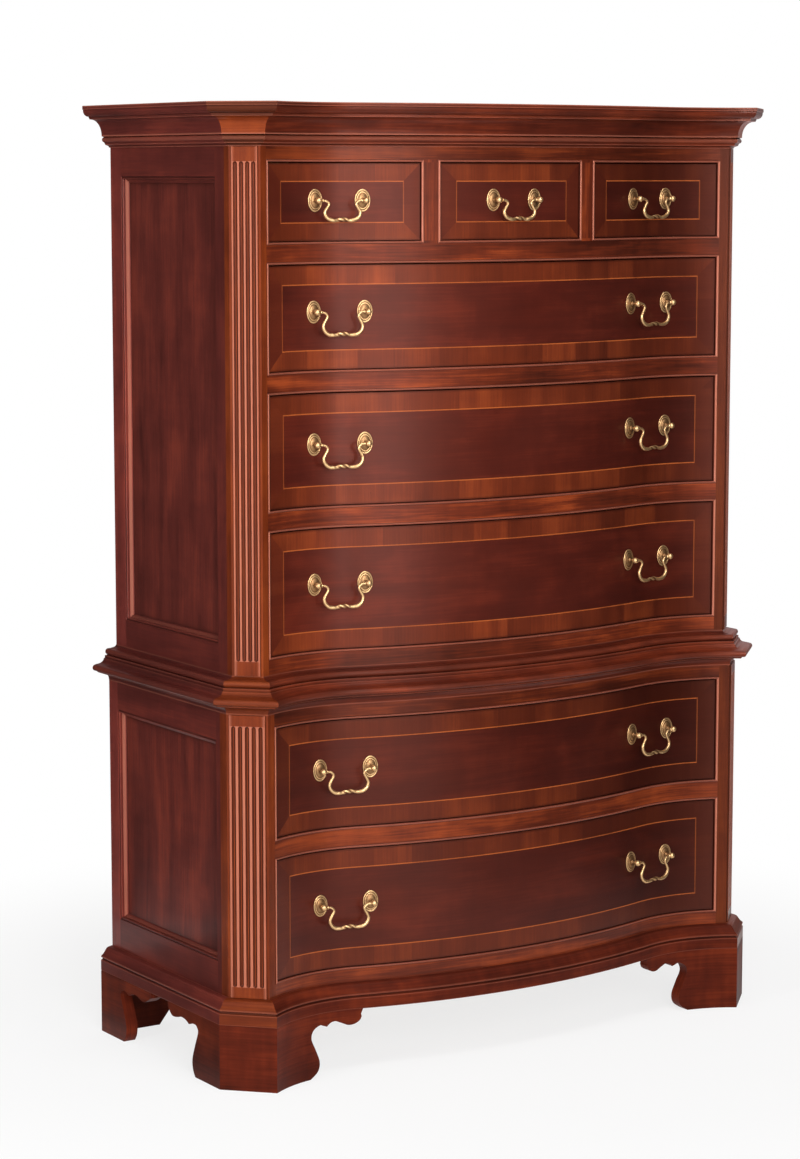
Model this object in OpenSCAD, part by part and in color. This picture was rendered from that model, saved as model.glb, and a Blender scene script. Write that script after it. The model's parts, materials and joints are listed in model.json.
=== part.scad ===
// Serpentine-front chest-on-chest: two cases with canted fluted corners, eight
// cock-beaded drawers, ogee bracket feet and swan-neck bail pulls.
// Millimetres, +Z up, front toward -Y, origin on the floor under the middle.

/* [Cases] */
// Width of the upper case
upper_w = 940; // [900:2:980]
// Depth of the cases behind the front corner of the upper one
case_d = 404; // [380:2:440]
// How far the lower case stands out past the upper one
case_step = 13.75; // [11:0.25:17]
// Thickness of the top and bottom boards
board_t = 18; // [16:0.5:20]
// Thickness of the boards between the drawers
dust_t = 12; // [10:0.5:14]
// Thickness of the framed sides
side_t = 20; // [18:0.5:24]
// Thickness of the back boards
back_t = 8; // [6:0.5:12]
// Depth of the corner posts and front rails behind the front corner
post_d = 48; // [44:1:56]

/* [Serpentine front] */
// Depth of the wave from its crest to its hollows
wave_d = 47; // [40:1:52]
// Distance of each hollow from the side of the upper case
hollow_inset = 138; // [130:1:146]
// Radius of each hollow
hollow_r = 228; // [216:2:244]
// Reach of the canted corner along each face of the upper case
cant_leg = 34; // [32:0.5:37]

/* [Heights] */
// Height of the bracket feet
foot_h = 100; // [90:1:120]
// Height of the base moulding
base_h = 38; // [34:0.5:42]
// Rail that shows under the lowest drawer opening
lower_low_rail_h = 23.3; // [18:0.1:30]
// Height of the sixth row's opening
row6_h = 186; // [160:1:200]
// Height of the fifth row's opening
row5_h = 167; // [140:1:190]
// Rail that shows over the fifth row's opening
lower_top_rail_h = 22.8; // [18:0.1:30]
// Height of the waist moulding
waist_h = 56.4; // [52:0.2:62]
// Rail that shows under the fourth row's opening
upper_low_rail_h = 26.5; // [20:0.1:34]
// Height of the fourth row's opening
row4_h = 186; // [160:1:200]
// Height of the third row's opening
row3_h = 171; // [150:1:190]
// Height of the second row's opening
row2_h = 158; // [140:1:180]
// Height of the top row's openings
row1_h = 117; // [105:1:130]
// Rail between two openings, with its beads
rail_gap = 33.5; // [28:0.5:40]
// Rail that shows over the top row's openings
upper_top_rail_h = 23; // [18:0.5:30]
// Height of the crown moulding
crown_h = 64; // [58:1:72]

/* [Mouldings] */
// How far the crown stands out past the upper case
crown_over = 48; // [44:0.5:54]
// How far the waist moulding stands out past the upper case
waist_over = 43; // [40:0.5:48]
// How far the base moulding stands out past the lower case
base_over = 21; // [18:0.5:24]
// How far the seam between the cases lies below the top of the waist moulding
seam_drop = 19; // [17:0.5:20]
// Width of the bead round each opening
bead_w = 4; // [3:0.25:5]
// How far the bead stands proud of the rails
bead_proud = 1.5; // [1:0.25:2.5]
// Depth of the rebate that holds the bead
bead_d = 9; // [7:0.5:12]

/* [Corner posts] */
// Stile that shows between the canted corner and a bead
stile_w = 13; // [11:0.5:16]
// Width of the upper pilasters
upper_pilaster_w = 40; // [38:0.5:43]
// Width of the lower pilasters
lower_pilaster_w = 56; // [52:0.5:57]
// How far the pilasters stand proud of the cant
pilaster_proud = 2.5; // [1.5:0.25:3]
// Flutes on each upper pilaster
upper_flutes = 4; // [3:1:4]
// Flutes on each lower pilaster
lower_flutes = 5; // [3:1:5]
// Pitch of the upper flutes
upper_flute_pitch = 9.25; // [8.5:0.25:9.5]
// Pitch of the lower flutes
lower_flute_pitch = 10.5; // [9.5:0.25:10.75]
// Radius of a flute
flute_r = 3.35; // [3:0.05:3.6]
// Depth of a flute
flute_d = 2.6; // [2:0.1:2.8]
// Plain stretch of the upper pilaster past each end of the flutes
upper_flute_end = 22; // [16:1:30]
// Plain stretch of the lower pilaster past each end of the flutes
lower_flute_end = 17; // [12:1:26]

/* [Framed sides] */
// Width of the stile at the back of an upper side
upper_back_stile_w = 34; // [28:1:42]
// Width of the stile beside the post of an upper side
upper_front_stile_w = 27; // [20:1:36]
// Rail that shows over an upper panel
upper_side_rail_top = 44; // [36:1:56]
// Rail that shows under an upper panel
upper_side_rail_low = 43; // [36:1:56]
// Width of the stile at the back of a lower side
lower_back_stile_w = 28; // [24:1:36]
// Width of the stile beside the post of a lower side
lower_front_stile_w = 12; // [10:1:24]
// Rail that shows over a lower panel
lower_side_rail_top = 43.6; // [36:0.4:52]
// Rail that shows under a lower panel
lower_side_rail_low = 49; // [40:1:58]
// Width of the moulded edge round a panel
panel_mould_w = 10; // [8:0.5:12]
// How deep the panel lies behind the face of its frame
panel_recess = 10; // [8:0.5:10.5]
// Thickness of the side panels
panel_t = 7; // [5:0.5:7]
// Depth of the groove that holds a panel
panel_groove = 8; // [6:0.5:10]

/* [Feet] */
// Thickness of the foot brackets
foot_t = 20; // [18:0.5:20]
// Width of a front foot's pad on the floor, from its canted corner
front_pad_w = 77.5; // [72:0.5:84]
// Length of a front foot's bracket along the front
front_bracket_w = 168; // [162:1:180]
// Width of a foot's pad on the floor along the side
side_pad_w = 76; // [70:0.5:82]
// Length of a front foot's bracket along the side
side_bracket_w = 162; // [156:1:172]
// How much longer the side bracket of a rear foot is
rear_extra = 6; // [0:1:12]
// Width of a rear foot's plain back bracket on the floor
back_pad_w = 95; // [80:1:110]
// Length of a rear foot's plain back bracket at its top
back_bracket_w = 175; // [150:1:200]
// Width of the glue block in a rear foot
glue_block_w = 45; // [36:1:50]
// How far the glue blocks stay above the floor
glue_block_lift = 4; // [2:0.5:8]

/* [Drawers] */
// Clear width of the middle opening of the top row
middle_w = 260; // [230:2:280]
// Width that shows of the uprights between the top row's beads
divider_w = 23.5; // [20:0.5:28]
// Thickness of a drawer front
front_t = 20; // [18:0.5:22]
// How deep the fronts lie behind the rails
front_recess = 1; // [0.5:0.25:2]
// Gap between a front and its bead at each side
side_gap = 1; // [0.5:0.1:1.2]
// How far a drawer's sides lie inside the opening at each side
box_gap = 1.5; // [1.2:0.1:2]
// Gap between a front and its bead at the bottom
low_gap = 0.8; // [0.6:0.1:1.2]
// Gap between a front and its bead at the top
top_gap = 1.5; // [1:0.1:2]
// Thickness of a drawer's sides and back
box_t = 12; // [10:0.5:13]
// Thickness of a drawer's bottom
bottom_t = 8; // [6:0.5:9]
// Height of a drawer's bottom above the lower edge of its sides
bottom_lift = 8; // [6:0.5:12]
// How far a drawer's sides stay below the top of its front
box_drop = 8; // [6:1:16]
// Room behind a closed drawer
back_room = 36; // [30:1:60]
// Gap between a drawer's side and its guide
guide_gap = 0.8; // [0.5:0.1:1]
// Gap between a drawer's side and the board that it slides on
run_gap = 0.3; // [0.2:0.05:0.4]
// Height of the drawer guides
guide_h = 24; // [16:1:36]

/* [Pulls] */
// Distance between the two posts of a large pull
post_spacing = 82.5; // [79:0.5:86]
// Distance between the two posts of a small pull, in the top row
small_post_spacing = 76; // [74:0.5:79]
// Height of the pulls over the middle of the top row
small_pull_rise = 2; // [0:0.5:6]
// Height of the pulls over the middle of the other rows
large_pull_rise = 8; // [0:0.5:14]
// Reach of a post from the drawer front to its pin
post_reach = 16; // [15:0.5:19]
// Radius of a post's ball
ball_r = 5; // [4.5:0.1:5.4]
// Diameter of a post's threaded shank
shank_d = 4.8; // [4:0.1:5.4]
// How far a shank reaches past the back of the drawer front
shank_end = 8; // [6:0.5:10]
// Thickness of the nut on a shank
nut_t = 3.5; // [3:0.25:4]
// Width of a rosette
rosette_w = 25; // [22:0.5:28]
// Height of a rosette
rosette_h = 35.5; // [32:0.5:38]
// Thickness of a rosette at its middle
rosette_t = 4.6; // [4:0.1:5.2]
// Diameter of a bail's pins
pin_d = 3; // [2.6:0.1:3.4]
// Clearance round a bail's pin
pin_gap = 0.05; // [0.03:0.01:0.08]
// Thickness of a bail's arms
arm_d = 4.4; // [3.8:0.1:4.8]
// Thickness of a bail at its middle
grip_d = 5.6; // [5:0.1:6.4]
// Drop of a large bail below its pins
bail_drop = 34.5; // [32:0.5:38]
// Drop of a small bail below its pins
small_bail_drop = 29.5; // [28:0.5:32]

/* [Hidden] */
wood = [0.43, 0.21, 0.14];
dark_wood = [0.33, 0.14, 0.11];
band_wood = [0.52, 0.27, 0.17];
plain_wood = [0.66, 0.52, 0.36];
brass = [0.76, 0.62, 0.35];
fit_gap = 0.3;      // air between a moulding and the case that it wraps
joint_gap = 0.1;    // glue line between two pieces of one drawer or foot
rosette_seat = 0.45; // lift that keeps a flat rosette clear of a hollow front
far = 700;          // longer than any plan dimension
curve_fn = 360;     // facets of a full circle in plan
round_fn = 48;      // facets of small turned work

half_u = upper_w / 2;
half_l = half_u + case_step;
corner_x = half_u - cant_leg;
opening_x = corner_x - stile_w - bead_w;
post_x = opening_x + bead_w;

// Serpentine front: a convex arc between two hollows, tangent where they join
hollow_x = half_u - hollow_inset;
centre_span = (pow(hollow_x, 2) + pow(wave_d, 2)) / (2 * wave_d);
crest_r = centre_span - hollow_r;
crest_rise = wave_d - hollow_r + sqrt(pow(hollow_r, 2) - pow(corner_x - hollow_x, 2));
front_over = max(crown_over, waist_over, case_step + base_over);
corner_y = (crest_rise + front_over - case_d) / 2;
crest_y = corner_y - crest_rise;
crest_cy = crest_y + crest_r;
hollow_cy = crest_y + wave_d - hollow_r;
join_a = atan2(crest_cy - hollow_cy, -hollow_x);
back_y = corner_y + case_d;
rail_back_y = corner_y + post_d;
board_back_y = back_y - back_t;
drawer_back_y = board_back_y - back_room;

// Heights of the openings and of the mouldings
low6 = foot_h + base_h + lower_low_rail_h;
low5 = low6 + row6_h + rail_gap;
waist_z = low5 + row5_h + lower_top_rail_h;
seam_z = waist_z + waist_h - seam_drop;
upper_z = waist_z + waist_h;
low4 = upper_z + upper_low_rail_h;
low3 = low4 + row4_h + rail_gap;
low2 = low3 + row3_h + rail_gap;
low1 = low2 + row2_h + rail_gap;
crown_z = low1 + row1_h + upper_top_rail_h;
total_h = crown_z + crown_h;
upper_top_z = total_h - board_t;
lower_top_z = seam_z - board_t;
row_low = [low1, low2, low3, low4, low5, low6];
row_h = [row1_h, row2_h, row3_h, row4_h, row5_h, row6_h];

outer_x = middle_w / 2 + 2 * bead_w + divider_w;
outer_pull_x = (outer_x + opening_x) / 2;

// Drawers 1 to 3 are the top row, 4 to 6 the upper case, 7 and 8 the lower
function row_of(d) = d <= 3 ? 0 : d - 3;
function step_of(d) = d >= 7 ? case_step : 0;
function left_of(d) = d == 2 ? -middle_w / 2 : d == 3 ? outer_x : -opening_x;
function right_of(d) = d == 1 ? -outer_x : d == 2 ? middle_w / 2 : opening_x;
function pull_z(d) = row_low[row_of(d)] + row_h[row_of(d)] / 2
    + (d <= 3 ? small_pull_rise : large_pull_rise);
function spacing_of(d) = d <= 3 ? small_post_spacing : post_spacing;
function drop_of(d) = d <= 3 ? small_bail_drop : bail_drop;

// Every pull: its drawer, its name and its place across the front
pulls = concat(
    [[1, "bail_1", -outer_pull_x], [2, "bail_2", 0], [3, "bail_3", outer_pull_x]],
    [for (d = [4:8]) for (side = [-1, 1])
        [d, str("bail_", d, side < 0 ? "_left" : "_right"), side * outer_pull_x]]);
function pulls_of(d) = [for (p = pulls) if (p[0] == d) p[2]];

// Plan of the front at an offset out from the face of the upper case
function join_x(o) = hollow_x * (crest_r + o) / centre_span;
function front_y(x, o) = abs(x) < join_x(o)
    ? crest_cy - sqrt(pow(crest_r + o, 2) - x * x)
    : hollow_cy + sqrt(pow(hollow_r - o, 2) - pow(abs(x) - hollow_x, 2));
function front_angle(x, o, step = 1) = atan((front_y(x + step, o) - front_y(x - step, o)) / (2 * step));
function side_corner_y(o) = corner_y + cant_leg - o * tan(22.5);
function cant_run(o) = let (u = half_u + o - hollow_x, v = side_corner_y(o) - hollow_cy)
    (u + v - sqrt(pow(u + v, 2) - 2 * (u * u + v * v - pow(hollow_r - o, 2)))) / 2;
function cant_front(o) = [half_u + o, side_corner_y(o)] - cant_run(o) * [1, 1];

function arc(c, rx, ry, a0, a1, n) =
    [for (i = [0:n]) c + [rx * cos(a0 + (a1 - a0) * i / n), ry * sin(a0 + (a1 - a0) * i / n)]];
function right_outline(o) = let (k = cant_front(o), a = atan2(k.y - hollow_cy, k.x - hollow_x))
    concat(arc([0, crest_cy], crest_r + o, crest_r + o, -90, join_a - 180, 8),
        [for (i = [1:8]) [hollow_x, hollow_cy] + (hollow_r - o)
            * [cos(join_a + (a - join_a) * i / 8), sin(join_a + (a - join_a) * i / 8)]],
        [[half_u + o, side_corner_y(o)], [half_u + o, back_y]]);
function outline(o) = let (r = right_outline(o), n = len(r))
    concat([for (i = [n - 1:-1:1]) [-r[i].x, r[i].y]], r);

// Catmull-Rom curve through a few points
function between(a, b, c, d, t) = 0.5 * (2 * b + (c - a) * t
    + (2 * a - 5 * b + 4 * c - d) * t * t + (3 * b - a - 3 * c + d) * t * t * t);
function smooth(p, n) = concat([for (i = [0:len(p) - 2]) for (k = [0:n - 1])
    between(p[max(i - 1, 0)], p[i], p[i + 1], p[min(i + 2, len(p) - 1)], k / n)], [p[len(p) - 1]]);

module front_zone(o) {
    j = join_x(o);
    intersection() {
        translate([0, crest_cy]) circle(r = crest_r + o, $fn = curve_fn);
        translate([-hollow_x, crest_y - o - 1]) square([2 * hollow_x, back_y - crest_y + o + 1]);
    }
    for (side = [-1, 1]) difference() {
        translate([side < 0 ? -far : j, hollow_cy]) square([far - j, back_y - hollow_cy]);
        translate([side * hollow_x, hollow_cy]) circle(r = hollow_r - o, $fn = curve_fn);
    }
}

module plan(o) {
    w = half_u + o;
    y = side_corner_y(o);
    reach = crest_rise + front_over + cant_leg + o;
    intersection() {
        front_zone(o);
        polygon([[w, back_y], [w, y], [w - reach, y - reach],
            [reach - w, y - reach], [-w, y], [-w, back_y]]);
    }
}

module slab(z0, z1, o) translate([0, 0, z0]) linear_extrude(z1 - z0) plan(o);

module block(a, b) translate(a) cube(b - a);

// A slab of the plan that is kept only inside a box
module plan_block(o, a, b) intersection() {
    slab(a.z, b.z, o);
    block(a, b);
}

// Moulding mitred round the sides, the cants and the serpentine front
module moulding(z, profile) {
    rings = [for (p = profile) outline(p.x)];
    n = len(profile);
    m = len(rings[0]);
    points = [for (k = [0:m - 1]) for (i = [0:n - 1]) [rings[i][k].x, rings[i][k].y, z + profile[i].y]];
    walls = [for (k = [0:m - 2]) for (i = [0:n - 1]) let (a = k * n + i, b = k * n + (i + 1) % n)
        each [[a, b, a + n], [b, b + n, a + n]]];
    ends = [[for (i = [n - 1:-1:0]) i], [for (i = [0:n - 1]) (m - 1) * n + i]];
    polyhedron(points, concat(walls, ends));
}

module crown_moulding() color(wood) moulding(crown_z, concat(
    [[fit_gap, 0], [2.6, 0.8], [9.5, 5]],
    arc([10.5, 12.4], 4, 4, -75, 75, 4),
    [[13.4, 16.8], [15, 18]],
    arc([crown_over - 15, 18], crown_over - 30, crown_h - 39, 180, 90, 7),
    [[crown_over - 12, crown_h - 19.5]],
    arc([crown_over - 11, crown_h - 7.5], 8, 9.5, -90, 0, 3),
    [[crown_over, crown_h - 6], [crown_over, crown_h], [fit_gap, crown_h]]));

module waist_moulding() color(wood) moulding(waist_z, concat(
    [[case_step + fit_gap, 0]],
    arc([case_step + 10, 0.5], 9.5, 12.3, 180, 90, 3),
    [[waist_over - 10, 15]],
    arc([waist_over - 4.8, 22], 4.8, 4.8, -80, 80, 5),
    arc([waist_over - 8, waist_h - 26], 7.5, 3, -90, -180, 2),
    [[waist_over - 16, waist_h - 22], [waist_over - 21.6, waist_h - 19],
     [waist_over - 21.6, waist_h - 16.4]],
    arc([waist_over - 28, waist_h - 10.2], 5, 5, -70, 100, 5),
    arc([waist_over - 34, waist_h], waist_over - 34 - fit_gap, 4.6, -90, -180, 2),
    [[fit_gap, seam_z - waist_z], [case_step + fit_gap, seam_z - waist_z]]));

module base_moulding() color(wood) moulding(foot_h, concat(
    [[case_step + fit_gap, 0]],
    [for (p = [[0, 0], [0, 17], [-2, 18.4], [-2, 20], [0.2, 22], [-1, 24.4], [-7.5, 32],
        [-13.5, base_h - 1.2], [-18, base_h]]) [case_step + base_over + min(p.x, 0), p.y]],
    [[case_step + fit_gap, base_h]]));

module top_panel() color(dark_wood) slab(upper_top_z, total_h, 0);

// Fluted pilaster on the canted corner, drawn on the right-hand side
module pilaster(o, w, z0, z1, flutes, pitch, plain) {
    mid = ([half_u + o, side_corner_y(o)] + cant_front(o)) / 2;
    translate([mid.x, mid.y, 0]) rotate(45) difference() {
        block([-w / 2, -pilaster_proud, z0], [w / 2, 1, z1]);
        for (i = [0:flutes - 1]) translate([(i - (flutes - 1) / 2) * pitch,
                flute_d - flute_r - pilaster_proud, 0]) {
            translate([0, 0, z0 + plain + flute_r])
                cylinder(r = flute_r, h = z1 - z0 - 2 * (plain + flute_r), $fn = round_fn);
            for (z = [z0 + plain + flute_r, z1 - plain - flute_r])
                translate([0, 0, z]) sphere(r = flute_r, $fn = round_fn);
        }
    }
}

module post_pair(o, z0, z1, w, face0, face1, flutes, pitch, plain) {
    for (side = [0, 1]) mirror([side, 0, 0]) {
        plan_block(o, [post_x, crest_y - far / 2, z0], [far, rail_back_y, z1]);
        pilaster(o, w, face0, face1, flutes, pitch, plain);
    }
}

module upper_posts() color(band_wood) post_pair(0, seam_z, upper_top_z, upper_pilaster_w,
    upper_z, crown_z, upper_flutes, upper_flute_pitch, upper_flute_end);

module lower_posts() color(band_wood) post_pair(case_step, foot_h, lower_top_z, lower_pilaster_w,
    foot_h + base_h, waist_z, lower_flutes, lower_flute_pitch, lower_flute_end);

// Opening of a framed side, as its lowest and highest corner in Y and Z
function upper_opening() = [[rail_back_y + upper_front_stile_w, upper_z + upper_side_rail_low],
    [back_y - upper_back_stile_w, crown_z - upper_side_rail_top]];
function lower_opening() = [[rail_back_y + lower_front_stile_w, foot_h + base_h + lower_side_rail_low],
    [back_y - lower_back_stile_w, waist_z - lower_side_rail_top]];

// Pocket with moulded edges that is cut into a side's face, down to its panel
module moulded_pocket(x, opening) {
    steps = [[0, 1], [0, -1.2], [2.4, -1.2], [3, -2.6], [panel_mould_w, -panel_recess],
        [panel_mould_w, -panel_recess - 1]];
    n = len(steps);
    points = [for (s = steps) let (a = opening[0] + s.x * [1, 1], b = opening[1] - s.x * [1, 1])
        each [[x + s.y, a.x, a.y], [x + s.y, b.x, a.y], [x + s.y, b.x, b.y], [x + s.y, a.x, b.y]]];
    walls = [for (k = [0:n - 2]) for (i = [0:3]) let (a = k * 4 + i, b = k * 4 + (i + 1) % 4)
        each [[a, b, a + 4], [b, b + 4, a + 4]]];
    polyhedron(points, concat(walls, [[3, 2, 1, 0], [for (i = [0:3]) (n - 1) * 4 + i]]));
}

module side_frame(w, z0, z1, opening) {
    inset = panel_mould_w;
    a = opening[0] + [inset, inset];
    b = opening[1] - [inset, inset];
    difference() {
        block([w - side_t, rail_back_y + joint_gap, z0], [w, back_y, z1]);
        block([w - side_t - 1, a.x, a.y], [w + 1, b.x, b.y]);
        moulded_pocket(w, opening);
        block([w - panel_recess - panel_t - joint_gap, a.x - panel_groove, a.y - panel_groove],
            [w - panel_recess + joint_gap, b.x + panel_groove, b.y + panel_groove]);
    }
}

module side_panel(w, opening) {
    reach = panel_groove - panel_mould_w - 1;
    a = opening[0] - [reach, reach];
    b = opening[1] + [reach, reach];
    block([w - panel_recess - panel_t, a.x, a.y], [w - panel_recess, b.x, b.y]);
}

module upper_side_frames() color(wood) for (side = [0, 1]) mirror([side, 0, 0])
    side_frame(half_u, seam_z, upper_top_z, upper_opening());

module lower_side_frames() color(wood) for (side = [0, 1]) mirror([side, 0, 0])
    side_frame(half_l, foot_h, lower_top_z, lower_opening());

module side_panels() color(dark_wood) for (side = [0, 1]) mirror([side, 0, 0]) {
    side_panel(half_u, upper_opening());
    side_panel(half_l, lower_opening());
}

// Back boards, three to each case, between the framed sides
module back_board_set(w, z0, z1, count = 3) {
    each_w = 2 * (w - side_t) / count;
    for (i = [0:count - 1])
        block([side_t - w + i * each_w + joint_gap, board_back_y, z0],
            [side_t - w + (i + 1) * each_w - joint_gap, back_y, z1]);
}

module back_boards() color(plain_wood) {
    back_board_set(half_u, seam_z, upper_top_z);
    back_board_set(half_l, foot_h, lower_top_z);
}

// Front rail, rebated where a bead lies along its lower or upper edge
module front_rail(o, z0, z1, bead_below, bead_above) {
    plan_block(o, [-post_x, crest_y - far / 2, z0], [post_x, rail_back_y, z1]);
    plan_block(o - bead_d - joint_gap,
        [-post_x, crest_y - far / 2, z0 - (bead_below ? bead_w : 0)],
        [post_x, rail_back_y, z1 + (bead_above ? bead_w : 0)]);
}

module upper_front_rails() color(wood) {
    front_rail(0, seam_z, low4 - bead_w, false, true);
    for (r = [1, 2, 3])
        front_rail(0, row_low[r] + row_h[r] + bead_w, row_low[r - 1] - bead_w, true, true);
    front_rail(0, low1 + row1_h + bead_w, upper_top_z, true, false);
}

module lower_front_rails() color(wood) {
    front_rail(case_step, foot_h, low6 - bead_w, false, true);
    front_rail(case_step, low6 + row6_h + bead_w, low5 - bead_w, true, true);
    front_rail(case_step, low5 + row5_h + bead_w, lower_top_z, true, false);
}

// Upright between two drawers of the top row, with its partition and guides
module upper_dividers() color(wood) for (side = [0, 1]) mirror([side, 0, 0]) {
    inner = middle_w / 2;
    mid = (inner + outer_x) / 2;
    front = crest_y - far / 2;
    plan_block(0, [inner + bead_w, front, low1 + joint_gap],
        [outer_x - bead_w, rail_back_y, low1 + row1_h - joint_gap]);
    difference() {
        plan_block(0, [inner + bead_w, front, low1 - bead_w],
            [outer_x - bead_w, rail_back_y, low1 + row1_h + bead_w]);
        slab(low1 - bead_w - 1, low1 + row1_h + bead_w + 1, -bead_d);
    }
    block([mid - box_t / 2, rail_back_y + joint_gap, low1 + low_gap - run_gap],
        [mid + box_t / 2, board_back_y, upper_top_z]);
    block([inner - box_gap + guide_gap, rail_back_y + joint_gap, low1 + low_gap - run_gap],
        [outer_x + box_gap - guide_gap, board_back_y, low1 + guide_h]);
}

// Bead round one opening, set in the rebates of the rails
module bead(x0, x1, z0, z1, o) difference() {
    intersection() {
        difference() {
            slab(z0 - bead_w, z1 + bead_w, o + bead_proud);
            slab(z0 - bead_w - 1, z1 + bead_w + 1, o - bead_d);
        }
        block([x0 - bead_w, crest_y - far / 2, z0 - bead_w], [x1 + bead_w, far, z1 + bead_w]);
    }
    block([x0, -far, z0], [x1, far, z1]);
}

module drawer_bead(d) {
    r = row_of(d);
    bead(left_of(d), right_of(d), row_low[r], row_low[r] + row_h[r], step_of(d));
}

module upper_cock_beads() color(dark_wood) for (d = [1:6]) drawer_bead(d);

module lower_cock_beads() color(dark_wood) for (d = [7, 8]) drawer_bead(d);

// Board that a row of drawers slides on, with a guide at each side
module dust_board(r, w, t) {
    top = row_low[r] + low_gap - run_gap;
    front = rail_back_y + joint_gap;
    block([side_t - w + joint_gap, front, top - t], [w - side_t - joint_gap, board_back_y, top]);
    for (side = [0, 1]) mirror([side, 0, 0])
        block([opening_x - box_gap + guide_gap, front, top - 1],
            [w - side_t - joint_gap, board_back_y, top + guide_h]);
}

module upper_dust_boards() color(plain_wood) for (r = [0, 1, 2]) dust_board(r, half_u, dust_t);

module upper_bottom_board() color(plain_wood) dust_board(3, half_u, board_t);

module lower_dust_board() color(plain_wood) dust_board(4, half_l, dust_t);

module lower_case_boards() color(plain_wood) {
    slab(lower_top_z, seam_z, case_step);
    dust_board(5, half_l, board_t);
}

// Outlines of the brackets: distance from the corner of the foot, and height
function front_bracket() = concat(
    smooth([[front_pad_w, 0], [front_pad_w + 14, 10], [front_pad_w + 17.5, 25], [front_pad_w + 10, 45],
        [front_pad_w + 2, foot_h - 37], [front_pad_w + 6, foot_h - 24], [front_pad_w + 20, foot_h - 17.6],
        [front_pad_w + 31, foot_h - 22]], 3),
    smooth([[front_bracket_w - 59.5, foot_h - 22], [front_bracket_w - 53, foot_h - 17],
        [front_bracket_w - 44, foot_h - 15.5], [front_bracket_w - 33, foot_h - 20],
        [front_bracket_w - 23, foot_h - 24], [front_bracket_w - 13, foot_h - 23],
        [front_bracket_w - 5, foot_h - 18], [front_bracket_w - 2, foot_h - 12]], 3),
    [[front_bracket_w - 3, foot_h - 8], [front_bracket_w, foot_h]]);

function side_bracket(extra) = concat(
    smooth([[side_pad_w, 0], [side_pad_w + 7, 11], [side_pad_w + 8.5, 27], [side_pad_w, 50],
        [side_pad_w - 9.5, foot_h - 28], [side_pad_w - 7, foot_h - 20.5],
        [side_pad_w - 1.4, foot_h - 17.2], [side_pad_w + 8, foot_h - 17.5],
        [side_pad_w + 18, foot_h - 20.8]], 3),
    smooth([[side_bracket_w - 67, foot_h - 20.8], [side_bracket_w - 57, foot_h - 16.5],
        [side_bracket_w - 44, foot_h - 15], [side_bracket_w - 32, foot_h - 18],
        [side_bracket_w - 21, foot_h - 19.8], [side_bracket_w - 12, foot_h - 18.5],
        [side_bracket_w + extra - 1, foot_h - 9]], 3),
    [[side_bracket_w + extra, foot_h]]);

module bracket_sheet(points, depth) rotate([90, 0, 0]) linear_extrude(depth)
    polygon(concat([[-far / 4, 0]], points, [[-far / 4, foot_h]]));

module foot_band() difference() {
    slab(0, foot_h, case_step + base_over);
    slab(-1, foot_h + 1, case_step + base_over - foot_t);
}

// Front foot of the right-hand side: front bracket, cant and side bracket in one
module front_foot() color(wood) {
    o = case_step + base_over;
    split_y = side_corner_y(o);
    inner = o - foot_t - joint_gap;
    intersection() {
        foot_band();
        union() {
            translate([cant_front(o).x, split_y, 0]) mirror([1, 0, 0])
                bracket_sheet(front_bracket(), far / 2);
            translate([half_u, split_y, 0]) rotate(90) bracket_sheet(side_bracket(0), far / 4);
        }
    }
    plan_block(inner, [post_x, crest_y - far / 2, glue_block_lift], [far, rail_back_y, foot_h]);
}

// Rear foot of the right-hand side: side bracket and plain back bracket
module rear_foot() color(wood) {
    o = case_step + base_over;
    w = half_u + o;
    intersection() {
        block([w - foot_t, corner_y, 0], [w, back_y, foot_h]);
        translate([w + 1, back_y, 0]) rotate(-90) bracket_sheet(side_bracket(rear_extra), foot_t + 2);
    }
    intersection() {
        block([0, back_y - foot_t, 0], [w - foot_t + 1, back_y, foot_h]);
        translate([w, back_y + 1, 0]) mirror([1, 0, 0])
            bracket_sheet([[back_pad_w, 0], [back_bracket_w, foot_h]], foot_t + 2);
    }
    block([w - foot_t - joint_gap - glue_block_w, back_y - foot_t - joint_gap - glue_block_w, glue_block_lift],
        [w - foot_t - joint_gap, back_y - foot_t - joint_gap, foot_h]);
}

module foot_front_right() front_foot();

module foot_front_left() mirror([1, 0, 0]) front_foot();

module foot_rear_right() rear_foot();

module foot_rear_left() mirror([1, 0, 0]) rear_foot();

// Puts a piece on the chord of a pull, with -Y out of the drawer
module at_pull(d, x) {
    o = step_of(d) - front_recess;
    half = spacing_of(d) / 2;
    run = half * cos(front_angle(x, o, half));
    a = front_angle(x, o, run);
    y = (front_y(x - run, o) + front_y(x + run, o)) / 2;
    translate([x, y, pull_z(d)]) rotate(a) children();
}

// Turned post with its shank through the front and a ball bored for the pin
module pull_post(side) difference() {
    rotate([90, 0, 0]) rotate_extrude($fn = round_fn) polygon(concat(
        [[0, -front_t - shank_end], [shank_d / 2, -front_t - shank_end], [shank_d / 2, rosette_t + 1.2],
         [ball_r - 1.4, rosette_t + 1.2], [ball_r - 1.4, rosette_t + 2.4], [ball_r / 2, rosette_t + 3.8]],
        arc([0, post_reach], ball_r, ball_r, -60, 90, 12)));
    translate([-side, -post_reach, 0]) rotate([0, -90 * side, 0])
        translate([0, 0, -2]) cylinder(d = pin_d + 2 * pin_gap, h = ball_r + 4, $fn = round_fn);
}

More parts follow.
